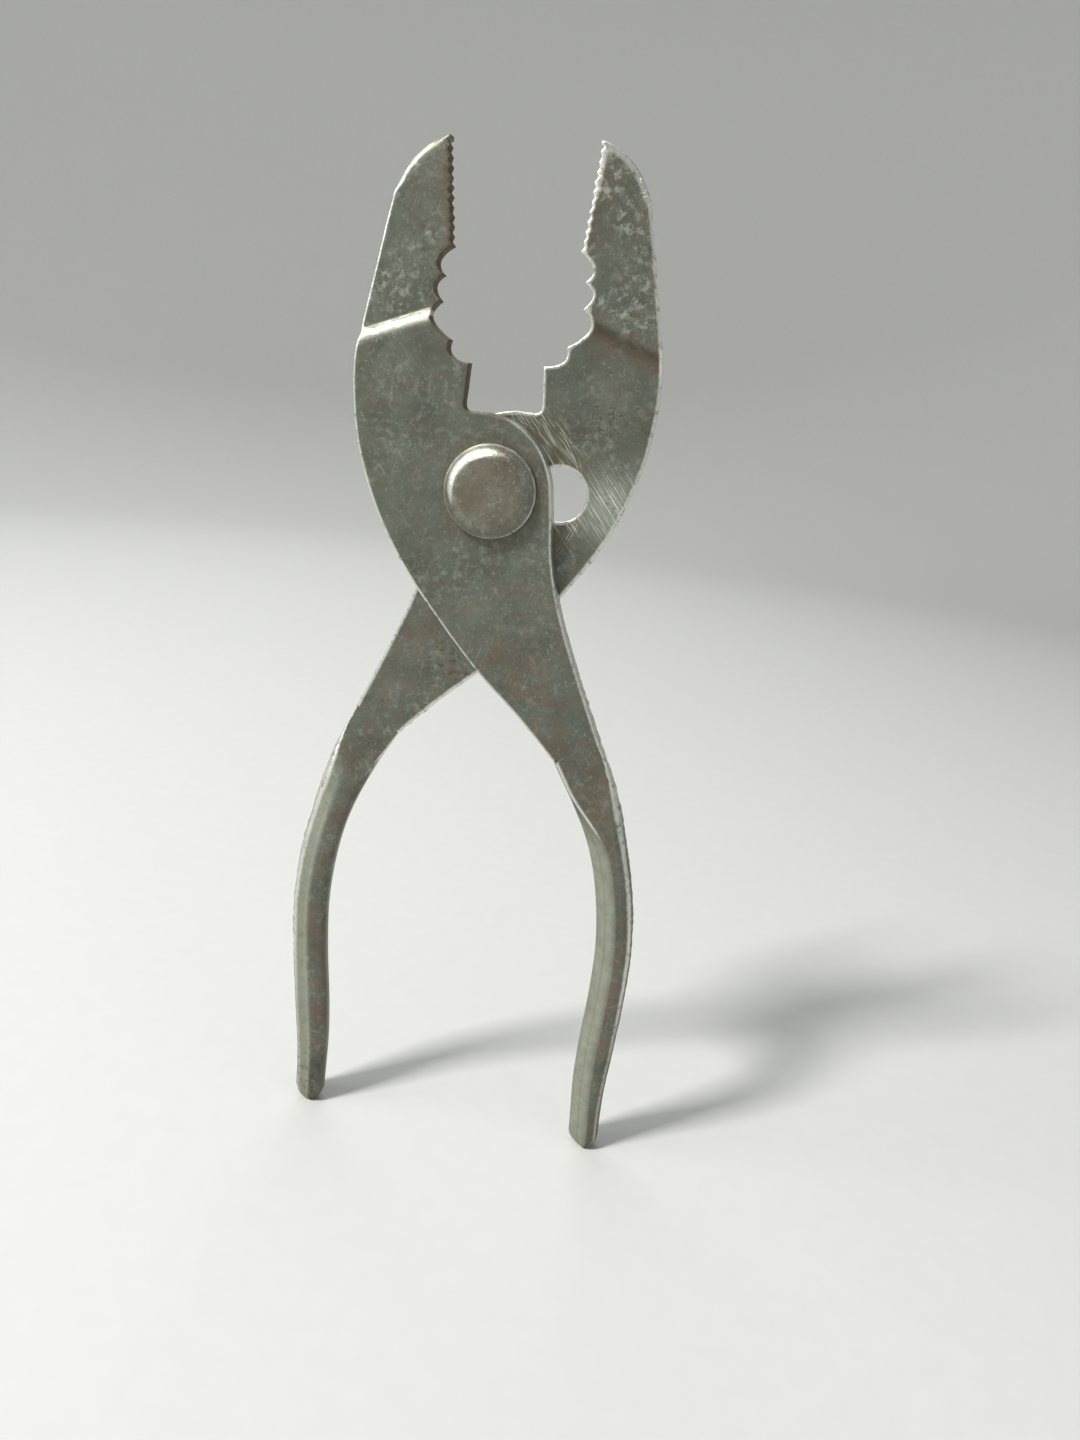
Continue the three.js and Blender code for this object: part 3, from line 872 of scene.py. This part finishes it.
@dataclass
class Stance:
    """How the blank's frame stands in the row frame: the levels and the pivot's place."""

    blank: Blank
    pivot: Vector

    def lever_place(self, points: np.ndarray, side: Side) -> np.ndarray:
        """Turn a lever's points from the blank's frame to the joint's frame, in mm."""
        b = self.blank
        if side is Side.FRONT:
            return turn_about_y(points, -b.front_open)
        over = points * np.array([-1, -1, 1])
        seat = np.array([-b.wide_seat[0], 0, b.wide_seat[1]])
        return turn_about_y(over, b.back_open) - turn_about_y(seat, b.back_open)

    @property
    def level(self) -> float:
        """Degrees that bring both handle ends to one height."""
        x, z = self.blank.handle_spine[-1]
        foot = np.array([x, 0, z])
        line = self.lever_place(foot, Side.FRONT) - self.lever_place(foot, Side.TURNED_OVER)
        return math.degrees(math.atan2(line[2], line[0]))

    def in_row(self, points: np.ndarray) -> np.ndarray:
        """Level points of the joint's frame and put them at the pivot, in metres."""
        return turn_about_y(points, self.level) * MM + np.array(self.pivot)

    def set_lever(self, piece: bpy.types.Object, side: Side) -> None:
        """Move a lever's mesh from the blank's frame into the row frame."""
        self.set_points(piece, lambda points: self.lever_place(points, side))

    def set_points(self, piece: bpy.types.Object, turn=lambda points: points) -> None:
        """Rewrite a mesh's points through a turn into the row frame."""
        verts = piece.data.vertices
        flat = np.empty(len(verts) * 3)
        verts.foreach_get("co", flat)
        verts.foreach_set("co", self.in_row(turn(flat.reshape(-1, 3))).ravel())
        piece.data.update()


# ---- rivet and washer
def turned(profile: np.ndarray, segments: int, closed: bool) -> bmesh.types.BMesh:
    """Turn a profile of radius and depth about the Y axis.

    Args:
        profile: radius and depth in mm, in order.
        segments: steps round the axis.
        closed: whether the profile's last point joins its first, as on a washer.

    Returns:
        The turned skin as a bmesh.
    """
    skin = bmesh.new()
    rings = []
    for radius, depth in profile:
        if radius < 1e-6:
            rings.append([skin.verts.new((0, depth, 0))] * segments)
            continue
        angles = [2 * math.pi * k / segments for k in range(segments)]
        rings.append([skin.verts.new((radius * math.cos(a), depth, radius * math.sin(a)))
                      for a in angles])
    pairs = list(zip(rings, rings[1:])) + ([(rings[-1], rings[0])] if closed else [])
    for a, b in pairs:
        for k in range(segments):
            n = (k + 1) % segments
            corners = dict.fromkeys((a[k], a[n], b[n], b[k]))
            if len(corners) > 2:
                skin.faces.new(tuple(corners))
    bmesh.ops.recalc_face_normals(skin, faces=skin.faces)
    return skin


@dataclass
class Rivet:
    """Pivot rivet: hammered flat-topped head, shank with two flats, peened tail."""

    blank: Blank
    joint: Joint
    head_radius: float = 6.55
    head_height: float = 2.1
    flat_radius: float = 4.7
    tail_radius: float = 5.1
    tail_height: float = 1.0
    washer_thickness: float = 1.0
    washer_gap: float = 0.1
    play: float = 0.05
    segments: int = 128

    def head_profile(self) -> np.ndarray:
        """Radius and depth of the head from its crown round to the shank."""
        base = -self.blank.half_depth - self.play
        top = base - self.head_height
        r, f = self.head_radius, self.flat_radius
        crown = [(0, top + 0.06), (f * 0.5, top), (f * 0.86, top + 0.02), (f, top + 0.10),
                 (f + 0.7, top + 0.55), (r - 0.45, top + 1.15), (r - 0.1, top + 1.55),
                 (r, top + 1.8), (r - 0.06, base - 0.06), (r - 0.3, base)]
        return np.vstack([evenly(catmull_rom(crown, 12), 0.16), [(0, base)]])

    def tail_profile(self) -> np.ndarray:
        """Radius and depth of the peened tail from the washer outwards."""
        base = self.blank.half_depth + self.washer_gap + self.washer_thickness + self.play
        r, top = self.tail_radius, base + self.tail_height
        side = [(r - 0.15, base), (r, base + 0.2), (r - 0.5, base + 0.68), (3.4, top - 0.06),
                (1.6, top), (0, top - 0.05)]
        return np.vstack([[(0, base)], evenly(catmull_rom(side, 12), 0.22)])

    def hammered(self, skin: bmesh.types.BMesh, seed: int, amount: float) -> None:
        """Dent the outer faces as a hammer does, with an uneven rim."""
        for vert in skin.verts:
            x, y, z = vert.co
            r = math.hypot(x, z)
            facing = smoothstep(r, 0, 1.2)
            broad = noise.noise(Vector((x / 3.1, seed, z / 3.1)))
            small = noise.noise(Vector((x / 0.9, seed + 3, z / 0.9)))
            vert.co.y += amount * (broad * (0.6 + 0.4 * facing) + 0.35 * small)
            uneven = 1 + 0.012 * noise.noise(Vector((x / 4, seed + 9, z / 4)))
            vert.co.x, vert.co.z = x * uneven, z * uneven

    def add_shank(self, into: bmesh.types.BMesh) -> None:
        """Add the double-flat shank between head and tail."""
        outline = self.joint.shank(0, self.joint.slot_angle)
        front = -self.blank.half_depth - self.play - 0.4
        back = self.blank.half_depth + self.washer_gap + self.washer_thickness + 0.3
        rings = [[into.verts.new((x, y, z)) for x, z in outline]
                 for y in np.linspace(front, back, 12)]
        for a, b in zip(rings, rings[1:]):
            for k in range(len(outline)):
                n = (k + 1) % len(outline)
                into.faces.new((a[k], a[n], b[n], b[k]))
        for ring in (rings[0], rings[-1]):
            into.faces.new(ring)

    def wear(self, places: np.ndarray) -> dict[str, np.ndarray]:
        """Masks at each vertex: shoulder and rim rubbed bright and painted as highlight, brightest on
        the upper-left side; dirt where the head meets the plate.
        """
        reach = np.hypot(places[:, 0], places[:, 2])
        front = places[:, 1] < -self.blank.half_depth
        # painted highlight: the shoulder is brightest on its upper-left side, where the light falls
        lit_side = (places[:, 2] - places[:, 0]) / np.maximum(reach, 0.1)
        shoulder = np.exp(-((reach - self.flat_radius - 0.7) / 0.8) ** 2)
        shoulder *= 0.35 + 0.50 * np.clip(lit_side, 0, 1)
        rim = 0.85 * np.exp(-((reach - self.head_radius + 0.12) / 0.22) ** 2)
        low = places[:, 1] > -self.blank.half_depth - self.play - 0.25
        return {"edge": np.maximum(shoulder, rim) * front,
                "grime_and_shade": 0.7 * low * (reach > self.head_radius - 0.4)
                + 0.25 * np.clip(self.flat_radius - reach, 0, 1)}

    def build(self, stance: Stance) -> bpy.types.Object:
        """Make the rivet in the row frame."""
        mesh = bpy.data.meshes.new("pivot_rivet_head_and_tail")
        whole = bmesh.new()
        for profile, seed, amount in ((self.head_profile(), 3, 0.07),
                                      (self.tail_profile(), 5, 0.10)):
            skin = turned(profile, self.segments, closed=False)
            self.hammered(skin, seed, amount)
            skin.to_mesh(mesh)
            whole.from_mesh(mesh)
            skin.free()
        self.add_shank(whole)
        bmesh.ops.recalc_face_normals(whole, faces=whole.faces)
        whole.to_mesh(mesh)
        whole.free()
        places = np.array([tuple(v.co) for v in mesh.vertices])
        paint(mesh, self.wear(places))
        piece = stand("rivet", mesh)
        stance.set_points(piece)
        return piece


@dataclass
class Washer:
    """Round washer under the peened tail."""

    blank: Blank
    rivet: Rivet
    radius: float = 6.6
    segments: int = 120

    def build(self, stance: Stance) -> bpy.types.Object:
        """Make the washer in the row frame."""
        b = self.blank
        front = b.half_depth + self.rivet.washer_gap
        back = front + self.rivet.washer_thickness
        bore, r = b.shank_radius + b.clearance, self.radius
        ring = [(bore, front + 0.1), (bore + 0.1, front), (4.6, front), (5.6, front),
                (r - 0.12, front), (r - 0.02, front + 0.1), (r, front + 0.3), (r, back - 0.35),
                (r - 0.1, back - 0.12), (r - 0.35, back), (5.6, back), (4.6, back),
                (bore + 0.1, back), (bore, back - 0.1)]
        skin = turned(np.array(ring), self.segments, closed=True)
        mesh = bpy.data.meshes.new("rear_washer_ring")
        skin.to_mesh(mesh)
        skin.free()
        piece = stand("washer", mesh)
        stance.set_points(piece)
        return piece


# ---- finishes
def linear(code: str) -> tuple[float, float, float, float]:
    """Turn an sRGB hex colour to linear RGBA."""
    parts = [int(code[i:i + 2], 16) / 255 for i in (1, 3, 5)]
    return (*[p / 12.92 if p <= 0.04045 else ((p + 0.055) / 1.055) ** 2.4 for p in parts], 1.0)


def per_metre(size_mm: float) -> float:
    """Noise scale that gives marks of about size_mm."""
    return 1 / (size_mm * MM)


def add(tree: bpy.types.NodeTree, kind: str, values: dict | None = None,
        links: dict | None = None, **settings) -> bpy.types.Node:
    """Add a node to a tree with its settings and links.

    Args:
        tree: where the node goes.
        kind: Blender's name for the node.
        values: numbers or colours by input.
        links: output sockets by input.
        settings: the node's own choices; stops holds a ramp's positions and colours.

    Returns:
        The new node.
    """
    node = tree.nodes.new(kind)
    stops = settings.pop("stops", None)
    for name, value in settings.items():
        setattr(node, name, value)
    for name, value in (values or {}).items():
        node.inputs[name].default_value = value
    for name, socket in (links or {}).items():
        tree.links.new(socket, node.inputs[name])
    if stops:
        ramp = node.color_ramp
        while len(ramp.elements) < len(stops):
            ramp.elements.new(0.5)
        for element, (place, level) in zip(ramp.elements, stops):
            element.position = place
            element.color = (level, level, level, 1)
    return node


@dataclass(frozen=True)
class WornSteel:
    """Stamped mild steel, barrel-polished and thinly plated, dulled by years in a toolbox.

    The eye gets a dark grey-green satin with fine pale specks, brown patina where hands and
    grime rest, bare bright steel along rubbed edges that also serves as painted highlight, a
    painted highlight on the handles' sloping band, and painted shade mixed into the grime.
    """

    name: str
    body: str = "#6e746a"
    dark: str = "#52574e"
    pale: str = "#b4bbb0"
    painted_light_band: str = "#a7ab9c"
    patina: str = "#735e4e"
    grime_and_shade: str = "#5c4a38"
    bare: str = "#dadbd4"
    rust: str = "#4d3c2d"
    lap: str = "#5f5b46"
    roughness: float = 0.46
    specks: float = 0.38
    pocks: float = 0.50
    blotches: float = 0.75
    rust_amount: float = 0.6
    rust_size: float = 0.8
    patina_amount: float = 0.68
    scratches: float = 0.12
    lap_marks: float = 0.5
    edge_shine: float = 0.9
    dents: float = 0.045
    film: float = 0.32

    def build(self, pivot: Vector) -> bpy.types.Material:
        """Make the material.

        Args:
            pivot: the rivet's axis in metres, which the lap marks run round.

        Returns:
            The finished material.
        """
        material = bpy.data.materials.new(self.name)
        material.use_nodes = True
        net = Net(material.node_tree)
        net.tree.nodes.clear()
        place = net.add("ShaderNodeTexCoord").outputs["Object"]
        masks = {name: net.add("ShaderNodeAttribute", attribute_name=name).outputs["Fac"]
                 for name in ("edge", "rolled", "pale", "jaw", "grime_and_shade", "lap", "scuff", "pits")}
        masks["rust"] = self.rust_mask(net, place, masks["pits"])
        masks["marks"] = self.scratch_mask(net, place, pivot, masks)
        masks["bright"] = self.bright_edge(net, place, masks["edge"])
        shader = net.add("ShaderNodeBsdfPrincipled",
                         links={"Base Color": self.colour(net, place, masks),
                                "Roughness": self.rough(net, place, masks),
                                "Metallic": self.metal(net, masks),
                                "Normal": self.bump(net, place, masks)})
        net.add("ShaderNodeOutputMaterial", links={"Surface": shader.outputs[0]})
        return material

    def rust_mask(self, net: "Net", place: Socket, pits: Socket) -> Socket:
        """Rust pits: clusters of specks, thick in some places and absent in most."""
        zone = net.plus(net.patches(place, 9.0, 3, 0.50, 0.68), pits)
        specks = net.patches(place, self.rust_size, 4, 0.54, 0.60)
        return net.scaled(net.times(specks, zone), self.rust_amount)

    def scratch_mask(self, net: "Net", place: Socket, pivot: Vector, masks: Masks) -> Socket:
        """Handling scratches, and arcs that the levers rub on each other.

        Real scratches are about 0.05 mm wide; they are drawn at 0.15 mm so that they show.
        """
        straight = []
        for angle, length in ((14, 5.0), (63, 3.0), (-37, 4.0)):
            straight.append(net.streaks(place, angle, 0.17, length, 0.66, 0.71))
        some = net.plus(net.plus(straight[0], straight[1]), straight[2])
        some = net.scaled(net.times(some, net.patches(place, 5, 2, 0.42, 0.6)), self.scratches)
        arcs = net.arcs(place, pivot, 0.24, 0.50, 0.70)
        arcs = net.times(arcs, net.patches(place, 1.6, 3, 0.42, 0.62))
        arcs = net.scaled(net.times(arcs, masks["lap"]), self.lap_marks)
        drag = net.streaks(place, -40, 0.22, 4.0, 0.50, 0.68)
        drag = net.times(drag, net.plus(masks["scuff"], net.scaled(masks["lap"], 0.4)))
        return net.plus(net.plus(some, arcs), drag)

    def bright_edge(self, net: "Net", place: Socket, edge: Socket) -> Socket:
        """Plating rubbed off along the edges, broken so that it comes and goes; the bright edge is also
        a painted highlight along the rounded edges.
        """
        rim = net.ramp(edge, [(0.55, 0), (0.82, 1)])
        broken = net.patches(place, 0.9, 4, 0.28, 0.46)
        return net.scaled(net.times(rim, broken), self.edge_shine)

    def colour(self, net: "Net", place: Socket, masks: Masks) -> Socket:
        """Base colour: plating, specks, patina, painted highlight on the handles' band, grime with
        painted shade, bare steel that is also painted edge highlight, and rust in that order.
        """
        cloud = net.ramp(net.noise(place, 5.5, 7), [(0.28, 0), (0.72, 1)])
        mixed = net.add("ShaderNodeMixRGB",
                        {"Color1": linear(self.dark), "Color2": linear(self.body)},
                        {"Fac": cloud}).outputs["Color"]
        fine = net.scaled(net.patches(place, 0.42, 3, 0.60, 0.74), self.specks)
        mixed = net.over(mixed, self.pale, fine)
        pocks = net.scaled(net.patches(place, 0.65, 2, 0.62, 0.68), self.pocks)
        mixed = net.over(mixed, self.grime_and_shade, pocks)
        blotch = net.times(net.patches(place, 1.15, 5, 0.50, 0.62),
                           net.patches(place, 6.0, 2, 0.42, 0.60))
        blotch = net.times(blotch, net.span(masks["jaw"], 0.28, 1.0))
        mixed = net.over(mixed, self.pale, net.scaled(blotch, self.blotches))
        stain = net.times(net.patches(place, 3.2, 5, 0.40, 0.66),
                          net.span(masks["rolled"], 0.35, 1.0))
        mixed = net.over(mixed, self.patina, net.scaled(stain, self.patina_amount))
        # painted highlight: a paler tint on the handles' sloping band, where it faces the light
        painted_light_band = net.times(masks["pale"], net.span(net.noise(place, 1.6, 5), 0.20, 1.0))
        mixed = net.over(mixed, self.painted_light_band, painted_light_band)
        # dirt by the teeth plus painted shade: below the offset bend, on the front jaw's inner walls
        # and round the rivet's head
        dirt_and_shade = net.times(masks["grime_and_shade"], net.span(net.noise(place, 1.2, 4), 0.45, 1.0))
        mixed = net.over(mixed, self.grime_and_shade, dirt_and_shade)
        mixed = net.over(mixed, self.lap, net.scaled(masks["lap"], 0.85))
        mixed = net.over(mixed, self.pale, net.scaled(masks["scuff"], 0.55))
        mixed = net.over(mixed, self.bare, masks["marks"])
        # bare steel along the edges, also a painted highlight on the rounded edges
        mixed = net.over(mixed, self.bare, masks["bright"])
        return net.over(mixed, self.rust, masks["rust"])

    def rough(self, net: "Net", place: Socket, masks: Masks) -> Socket:
        """Roughness: cloudy satin, smoother where rubbed, matt in rust and grime."""
        level = net.span(net.noise(place, 1.4, 6), self.roughness - 0.15, self.roughness + 0.15)
        for mask, value in (("marks", 0.32), ("bright", 0.30), ("grime_and_shade", 0.66), ("rust", 0.85)):
            node = net.add("ShaderNodeMixRGB", {"Color2": (value, value, value, 1)},
                           {"Fac": masks[mask], "Color1": level})
            level = node.outputs["Color"]
        return level

    def metal(self, net: "Net", masks: Masks) -> Socket:
        """Metallic share: full where rubbed bare, less under the dull film and least in rust."""
        film = net.span(masks["rust"], 1 - self.film, 0.4)
        return net.plus(film, net.scaled(masks["bright"], self.film))

    def bump(self, net: "Net", place: Socket, masks: Masks) -> Socket:
        """Heights in mm: tumbled dents, plating grain, torn edges, scratches and pits."""
        height = net.scaled(net.noise(place, 2.4, 3), self.dents)
        torn = net.times(net.noise(place, 0.55, 3), masks["edge"])
        for layer, amount in ((net.noise(place, 0.34, 4), 0.020), (torn, 0.10),
                              (masks["marks"], -0.010), (masks["rust"], -0.05)):
            part = net.scaled(layer, amount)
            height = net.add("ShaderNodeMath", None, {0: height, 1: part},
                             operation="ADD").outputs[0]
        bump = net.add("ShaderNodeBump", {"Strength": 1.0, "Distance": MM}, {"Height": height})
        return bump.outputs["Normal"]


class Net:
    """A material's nodes, with the few patterns that the finishes share."""

    def __init__(self, tree: bpy.types.NodeTree) -> None:
        """Hold the tree."""
        self.tree = tree

    def add(self, kind: str, values: dict | None = None, links: dict | None = None,
            **settings) -> bpy.types.Node:
        """Add a node to the tree; see add."""
        return add(self.tree, kind, values, links, **settings)

    def noise(self, place: Socket, size: float, detail: float) -> Socket:
        """Noise with marks of about size mm."""
        values = {"Scale": per_metre(size), "Detail": detail, "Roughness": NOISE_ROUGHNESS}
        return self.add("ShaderNodeTexNoise", values, {"Vector": place}).outputs["Fac"]

    def ramp(self, fac: Socket, stops: list[tuple[float, float]]) -> Socket:
        """Level of fac read through grey stops."""
        return self.add("ShaderNodeValToRGB", None, {"Fac": fac}, stops=stops).outputs["Color"]

    def patches(self, place: Socket, size: float, detail: float, low: float, high: float) -> Socket:
        """Patches of about size mm: 0 where the noise is under low and 1 over high."""
        return self.ramp(self.noise(place, size, detail), [(low, 0), (high, 1)])

    def times(self, a: Socket, b: Socket) -> Socket:
        """Product of two masks."""
        return self.add("ShaderNodeMath", None, {0: a, 1: b}, operation="MULTIPLY").outputs[0]

    def scaled(self, a: Socket, amount: float) -> Socket:
        """Mask made fainter or stronger."""
        return self.add("ShaderNodeMath", {1: amount}, {0: a}, operation="MULTIPLY").outputs[0]

    def plus(self, a: Socket, b: Socket) -> Socket:
        """Sum of two masks, held between 0 and 1."""
        node = self.add("ShaderNodeMath", None, {0: a, 1: b}, operation="ADD", use_clamp=True)
        return node.outputs[0]

    def span(self, a: Socket, low: float, high: float) -> Socket:
        """Mask spread from low at 0 to high at 1."""
        values = {"To Min": low, "To Max": high}
        return self.add("ShaderNodeMapRange", values, {"Value": a}).outputs[0]

    def over(self, under: Socket, code: str, fac: Socket) -> Socket:
        """Colour laid over another where the mask is 1."""
        node = self.add("ShaderNodeMixRGB", {"Color2": linear(code)},
                        {"Fac": fac, "Color1": under})
        return node.outputs["Color"]

    def streaks(self, place: Socket, angle: float, width: float, length: float,
                low: float, high: float) -> Socket:
        """Fine lines.

        Args:
            place: object coordinates.
            angle: degrees about the depth axis; 0 is upright and more leans to the right.
            width: across a line in mm.
            length: along a line in mm.
            low: noise level at which a line starts to show.
            high: noise level at which it is full.

        Returns:
            The mask.
        """
        laid = self.add("ShaderNodeMapping",
                        {"Rotation": (0, math.radians(angle), 0),
                         "Scale": (width * MM, length * MM, length * MM)},
                        {"Vector": place}, vector_type="TEXTURE").outputs[0]
        fac = self.add("ShaderNodeTexNoise", {"Scale": 1.0, "Detail": 1.5, "Distortion": 0.3},
                       {"Vector": laid}).outputs["Fac"]
        return self.ramp(fac, [(low, 0), (high, 1)])

    def arcs(self, place: Socket, pivot: Vector, width: float, low: float, high: float) -> Socket:
        """Rings of about width mm round the pivot's axis."""
        flat = self.add("ShaderNodeVectorMath", {1: (1, 0, 1)}, {0: place},
                        operation="MULTIPLY").outputs[0]
        reach = self.add("ShaderNodeVectorMath", {1: (pivot.x, 0, pivot.z)}, {0: flat},
                         operation="DISTANCE").outputs["Value"]
        wide = self.scaled(reach, per_metre(width))
        fac = self.add("ShaderNodeTexNoise", {"Scale": 1.0, "Detail": 3.0}, {"W": wide},
                       noise_dimensions="1D").outputs["Fac"]
        return self.ramp(fac, [(low, 0), (high, 1)])


@dataclass(frozen=True)
class Backdrop:
    """Matt studio paper: a pale, even floor that curves up with no line."""

    colour: str = "#c0c1bf"
    fibre: str = "#bbbcba"
    flat_radius: float = 0.75
    cove_radius: float = 0.45
    wall_height: float = 0.5
    segments: int = 96

    def build(self) -> bpy.types.Object:
        """Make the paper bowl and its material."""
        f, c = self.flat_radius, self.cove_radius
        path = [(0.0, 0.0), (f * 0.5, 0.0), (f, 0.0)]
        for k in range(1, 13):
            a = math.pi / 2 * k / 12
            path.append((f + c * math.sin(a), c * (1 - math.cos(a))))
        path.append((f + c, c + self.wall_height))
        verts, faces = [], []
        for radius, height in path:
            for k in range(self.segments):
                a = 2 * math.pi * k / self.segments
                verts.append((radius * math.cos(a), radius * math.sin(a), height))
        for j in range(len(path) - 1):
            for k in range(self.segments):
                n = (k + 1) % self.segments
                faces.append(tuple(j * self.segments + i for i in (k, n)) +
                             tuple((j + 1) * self.segments + i for i in (n, k)))
        mesh = bpy.data.meshes.new("paper")
        mesh.from_pydata(verts, [], faces)
        mesh.shade_smooth()
        sheet = bpy.data.objects.new("paper", mesh)
        bpy.context.scene.collection.objects.link(sheet)
        mesh.materials.append(self.paper())
        return sheet

    def paper(self) -> bpy.types.Material:
        """Uncoated paper: no gloss, a faint fibre cloud."""
        material = bpy.data.materials.new("studio_paper")
        material.use_nodes = True
        tree = material.node_tree
        shader = tree.nodes["Principled BSDF"]
        shader.inputs["Roughness"].default_value = 0.95
        place = add(tree, "ShaderNodeTexCoord").outputs["Object"]
        cloud = add(tree, "ShaderNodeTexNoise", {"Scale": per_metre(4), "Detail": 4},
                    {"Vector": place}).outputs["Fac"]
        tint = add(tree, "ShaderNodeMixRGB",
                   {"Color1": linear(self.fibre), "Color2": linear(self.colour)}, {"Fac": cloud})
        tree.links.new(tint.outputs["Color"], shader.inputs["Base Color"])
        return material


@dataclass(frozen=True)
class Lamp:
    """Square soft light: its place and width in metres, its power in watts and its tint."""

    name: str
    place: tuple[float, float, float]
    size: float
    power: float
    tint: str


@dataclass
class Studio:
    """Camera, lights and backdrop. The camera's place is in mm and its angles in degrees."""

    camera_place: tuple[float, float, float] = (24.291, -153.351, 115.733)
    azimuth: float = 5.741
    elevation: float = 16.177
    roll: float = 6.492
    lens: float = 27.0
    sensor: float = 36.0
    nearest: float = 0.01
    aim_height: float = 0.08
    air_tint: str = "#e4e6e8"
    air_strength: float = 0.20
    lamps: tuple[Lamp, ...] = (
        Lamp("key", (-0.50, -0.40, 0.80), 0.15, 12.0, "#fffdf8"),
        Lamp("left", (-0.80, -0.26, 0.42), 0.40, 2.8, "#f8fcff"),
        Lamp("fill", (0.70, -0.45, 0.45), 0.60, 0.9, "#f2f6ff"),
        Lamp("rear", (-0.25, 0.60, 0.60), 0.60, 2.4, "#ffffff"),
        Lamp("top", (-0.05, -0.10, 0.95), 0.80, 1.8, "#ffffff"),
    )

    def build(self) -> None:
        """Stand the camera, the lights and the paper."""
        self.add_camera()
        Backdrop().build()
        for lamp in self.lamps:
            self.add_light(lamp)
        world = bpy.data.worlds.new("studio air")
        world.use_nodes = True
        air = world.node_tree.nodes["Background"]
        air.inputs["Color"].default_value = linear(self.air_tint)
        air.inputs["Strength"].default_value = self.air_strength
        bpy.context.scene.world = world
        bpy.context.scene.view_settings.view_transform = "Standard"

    def add_camera(self) -> None:
        """Camera looking slightly down on the pliers, a little rolled."""
        a, e, r = (math.radians(v) for v in (self.azimuth, self.elevation, self.roll))
        away = Vector((math.sin(a) * math.cos(e), -math.cos(a) * math.cos(e), math.sin(e)))
        right = Vector((math.cos(a), math.sin(a), 0))
        up = away.cross(right)
        tilted = math.cos(r) * right + math.sin(r) * up
        upright = away.cross(tilted)
        lens = bpy.data.cameras.new("camera")
        lens.lens = self.lens
        lens.sensor_width = self.sensor
        lens.clip_start = self.nearest
        camera = bpy.data.objects.new("camera", lens)
        camera.matrix_world = Matrix((
            (tilted.x, upright.x, away.x, self.camera_place[0] * MM),
            (tilted.y, upright.y, away.y, self.camera_place[1] * MM),
            (tilted.z, upright.z, away.z, self.camera_place[2] * MM),
            (0, 0, 0, 1),
        ))
        bpy.context.scene.collection.objects.link(camera)
        bpy.context.scene.camera = camera

    def add_light(self, lamp: Lamp) -> None:
        """Stand a lamp, aimed at the pliers' middle."""
        data = bpy.data.lights.new(lamp.name, "AREA")
        data.size, data.energy, data.color = lamp.size, lamp.power, linear(lamp.tint)[:3]
        light = bpy.data.objects.new(lamp.name, data)
        light.location = lamp.place
        aim = Vector(lamp.place) - Vector((0, 0, self.aim_height))
        light.rotation_euler = aim.to_track_quat("Z", "Y").to_euler()
        bpy.context.scene.collection.objects.link(light)


@dataclass
class Pliers:
    """The whole tool: builds each piece, stands it, dresses it and hangs it on its body."""

    blank: Blank = field(default_factory=Blank)

    def __post_init__(self) -> None:
        """Take the pivot's place from the rivet's box."""
        low, high = (Vector(corner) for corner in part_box("pivot_rivet"))
        self.pivot = (low + high) / 2
        self.joint = Joint(self.blank)
        self.stance = Stance(self.blank, self.pivot)

    def finish_for(self, name: str) -> WornSteel:
        """Finish of one piece."""
        finishes = {
            "lever_front": WornSteel("plated_mild_steel_front", rust_amount=0.35),
            "lever_back": WornSteel("plated_mild_steel_back", rust_amount=0.7, blotches=0.9),
            "rivet": WornSteel("hammered_rivet_steel", body="#828276", dark="#625f53",
                               patina="#6f5f4d", roughness=0.40, rust_amount=0.7,
                               rust_size=0.6, patina_amount=0.9, dents=0.10, specks=0.7),
            "washer": WornSteel("pressed_washer_steel", body="#8c897d", dark="#747063",
                                roughness=0.44, rust_amount=0.5),
        }
        return finishes[name]

    def add_lever(self, name: str, node: str, side: Side, opening: np.ndarray, seed: int) -> None:
        """Make one lever and stand it in place of its solid."""
        lever = Lever(name, self.blank, side, seed, opening).build()
        self.stance.set_lever(lever, side)
        self.hang(lever, node, node)

    def hang(self, piece: bpy.types.Object, node: str, body: str) -> None:
        """Dress a piece, give it its body, and hide the solid it stands for."""
        piece.data.materials.append(self.finish_for(piece.name).build(self.pivot))
        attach(piece, body)
        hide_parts(node)
        log.info("%s: %d faces", piece.name, len(piece.data.polygons))

    def build(self) -> None:
        """Make every piece in order."""
        self.add_lever("lever_front", "front_lever", Side.FRONT, self.joint.hole(), 11)
        self.add_lever("lever_back", "back_lever", Side.TURNED_OVER, self.joint.slot(), 29)
        rivet = Rivet(self.blank, self.joint)
        self.hang(rivet.build(self.stance), "pivot_rivet", "front_lever")
        washer = Washer(self.blank, rivet)
        self.hang(washer.build(self.stance), "rear_washer", "rear_washer")


def main() -> None:
    """Build the studio and the pliers."""
    logging.basicConfig(level=logging.INFO, format="%(name)s: %(message)s")
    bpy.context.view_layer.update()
    Studio().build()
    Pliers().build()


if __name__ == "__main__":
    main()
